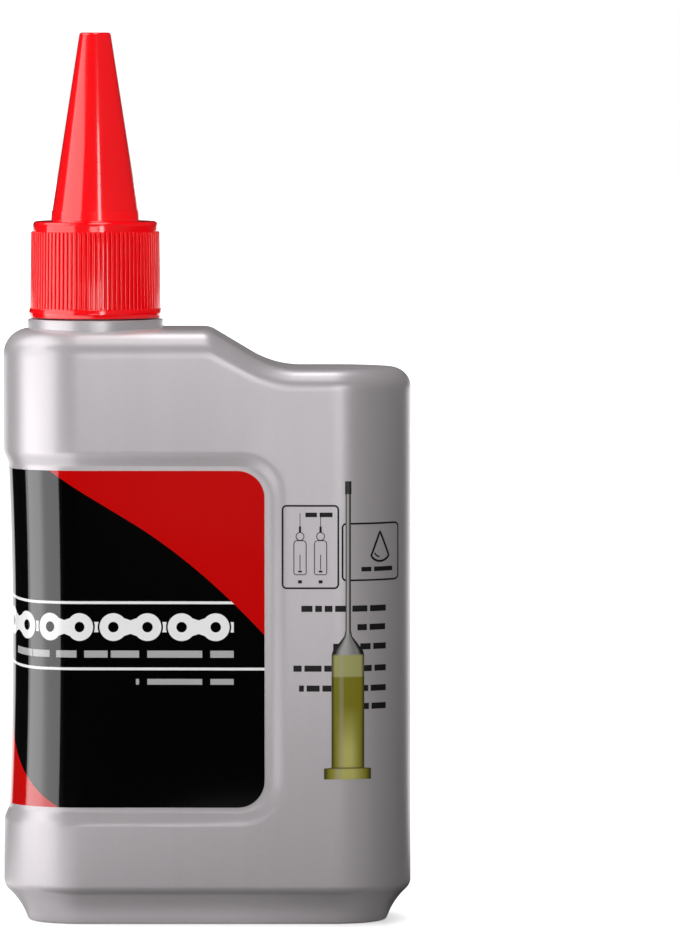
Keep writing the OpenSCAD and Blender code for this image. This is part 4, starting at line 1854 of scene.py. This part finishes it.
@dataclass
class Studio:
    """Camera, lamps, floor and background."""

    camera_at: tuple[float, float, float] = (0.018878, -1.4, 0.142666)
    camera_aim: tuple[float, float, float] = (0.020778, 0.0, 0.070948)
    focal_px: float = 8961.0
    picture_h: float = 933.0
    sensor: float = 36.0
    floor_reach: float = 6.0
    floor_colour: Colour = grey(0.9)
    floor_bounce: Colour = grey(0.22)
    # Floor colours that gloss sees, dark and dim: painted reflections.
    painted_dark_reflection: Colour = grey(0.02)
    painted_dim_reflection: Colour = grey(0.25)
    # Share of the white glow that gloss sees under the front edge: a painted reflection.
    painted_reflection_share: float = 0.75
    glow: float = 0.90
    glow_dip: float = 0.46
    dip_reach: float = 0.16
    # Share of the glow's dip taken back to the right of the foot: painted light over the shadow
    # there.
    painted_light_right_share: float = 0.6
    room: float = 0.92
    room_gloss: float = 0.02
    room_overhead: float = 0.85
    right_room: float = 0.9

    def camera(self) -> None:
        """Sets up the camera at the photograph's viewing angle."""
        data = bpy.data.cameras.new("camera")
        data.sensor_width = self.sensor
        data.lens = self.focal_px * self.sensor / self.picture_h
        camera = linked("camera", data)
        camera.location = self.camera_at
        way = Vector(self.camera_aim) - Vector(self.camera_at)
        camera.rotation_mode = "QUATERNION"
        camera.rotation_quaternion = way.to_track_quat("-Z", "Y")
        bpy.context.scene.camera = camera

    def seen(self, graph: Graph, part: Wire) -> Wire:
        """Mask of the rays that see the white background.

        Args:
            graph: The graph of the floor or the world.
            part: Mask of the part that gloss and glass show too; on the floor this also holds its
                painted reflections.

        Returns:
            The mask.
        """
        mirrored = graph.either(graph.ray("Glossy"), graph.ray("Transmission"))
        return graph.either(graph.ray("Camera"), mirrored * part)

    def floor(self) -> None:
        """Lays the pale floor, which keeps the bottle's shadow.

        Gloss shows it white behind the bottle, as the background. To its left and in a strip
        under its front edge it glows white to gloss only: painted reflections. To gloss it is
        dim further out in front and dark elsewhere: painted reflections too. To the right of
        the foot its glow is raised: painted light over the bottle's shadow there.
        """
        r = self.floor_reach / MM
        spots = np.array([(-r, -r, 0), (r, -r, 0), (r, r, 0), (-r, r, 0)])
        floor = new_mesh("floor", spots, [(0, 1, 2, 3)])
        material, graph = new_material("floor")
        x, y, _ = graph.parts(graph.place())
        below = graph.below
        # Gloss sees the floor white behind the bottle, as the background. To its left and in a
        # strip under its front edge the floor glows white to gloss only: painted reflections on the
        # bottle.
        behind = below(0.10, y, 0.12) * below(graph.size(x), y * 0.8, 0.05)
        left = below(x, -0.035, 0.03) * below(-0.26, y, 0.1) * below(y, 0.05, 0.05)
        near = below(-0.0116, y, 0.0006) * below(y, 0.0, 0.004) * below(x, 0.02, 0.03)
        seen = self.seen(graph, graph.either(behind, left, near * self.painted_reflection_share))
        # Elsewhere gloss sees the floor dim between about 3 and 20 cm in front and dark further
        # out: painted reflections.
        front = below(y, -0.03, 0.02) * below(-0.20, y, 0.12)
        shown = graph.blend(front, self.painted_dark_reflection, self.painted_dim_reflection)
        dim = graph.diffuse(graph.blend(graph.ray("Glossy"), self.floor_bounce, shown))
        # Near the bottle the glow dips, so that its cast shadow shows. To the right of the foot
        # most of the dip is taken back, and further right all of it: painted light over the shadow
        # there.
        painted_light_right = below(0.030, x, 0.004) * self.painted_light_right_share
        around = below(graph.reach(x, y), self.dip_reach, self.dip_reach)
        dip = around * self.glow_dip * (1 - painted_light_right)
        level = self.glow - dip * below(x, 0.065, 0.04)
        glow = graph.out("ShaderNodeEmission", {"Strength": level})
        white = graph.out("ShaderNodeAddShader", {0: graph.diffuse(self.floor_colour), 1: glow})
        top = graph.out("ShaderNodeMixShader", {0: seen, 1: dim, 2: white})
        under = graph.out("ShaderNodeNewGeometry", None, "Backfacing")
        clear = graph.out("ShaderNodeBsdfTransparent")
        both = graph.out("ShaderNodeMixShader", {0: under, 1: top, 2: clear})
        graph.node("ShaderNodeOutputMaterial", {"Surface": both})
        floor.data.materials.append(material)
        floor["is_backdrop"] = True

    def world(self) -> None:
        """Sets the white background and the room's soft light."""
        world = bpy.data.worlds.new("studio")
        bpy.context.scene.world = world
        world.use_nodes = True
        graph = Graph(world.node_tree)
        below = graph.below
        x, y, z = graph.parts(graph.out("ShaderNodeTexCoord", None, "Generated"))
        seen = self.seen(graph, below(0.85, y, 0.1) * below(z, -0.01, 0.02))
        glossy = graph.ray("Glossy")
        right = below(0.25, x, 0.6) * self.right_room * (1 - glossy)
        room = self.room - glossy * (self.room - self.room_gloss)
        room = room * (1 - below(0.65, z, 0.5) * self.room_overhead) * (1 + right)
        light = {"Color": grey(1), "Strength": room + (1 - room) * seen}
        shader = graph.out("ShaderNodeBackground", light)
        graph.node("ShaderNodeOutputWorld", {"Surface": shader})

    def build(self) -> None:
        """Sets up the whole studio."""
        self.camera()
        self.floor()
        self.world()
        for panel in PANELS:
            panel.build()
        bpy.context.scene.view_settings.view_transform = "Standard"


def corners(bounds: tuple[Vector, Vector]) -> list[list[float]]:
    """A box's lowest and highest corner as plain lists."""
    return [[float(v) for v in corner] for corner in bounds]


def main() -> None:
    """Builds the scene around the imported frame, piece by piece."""
    logging.basicConfig(level=logging.INFO, format="%(name)s: %(message)s")
    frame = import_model()
    cad_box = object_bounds()
    Studio().build()
    form = BodyForm()
    pieces = [
        BottleShell(form, Neck()).build(),
        WrapLabel(form).build(),
        *PanelPrint(form).build(),
        *NozzleCap(form, CapSizes()).build(),
    ]
    for node, finish in (("dripper_spout", SPOUT), ("sealing_washer", FOAM)):
        finish.dress(frame["nodes"][node])
    for piece in pieces:
        LOG.info("%s: %d faces", piece.name, len(piece.data.polygons))
    look_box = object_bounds()
    {"cad": corners(cad_box), "visual": corners(look_box)}
    LOG.info("CAD box %s, visual box %s", corners(cad_box), corners(look_box))


if __name__ == "__main__":
    main()
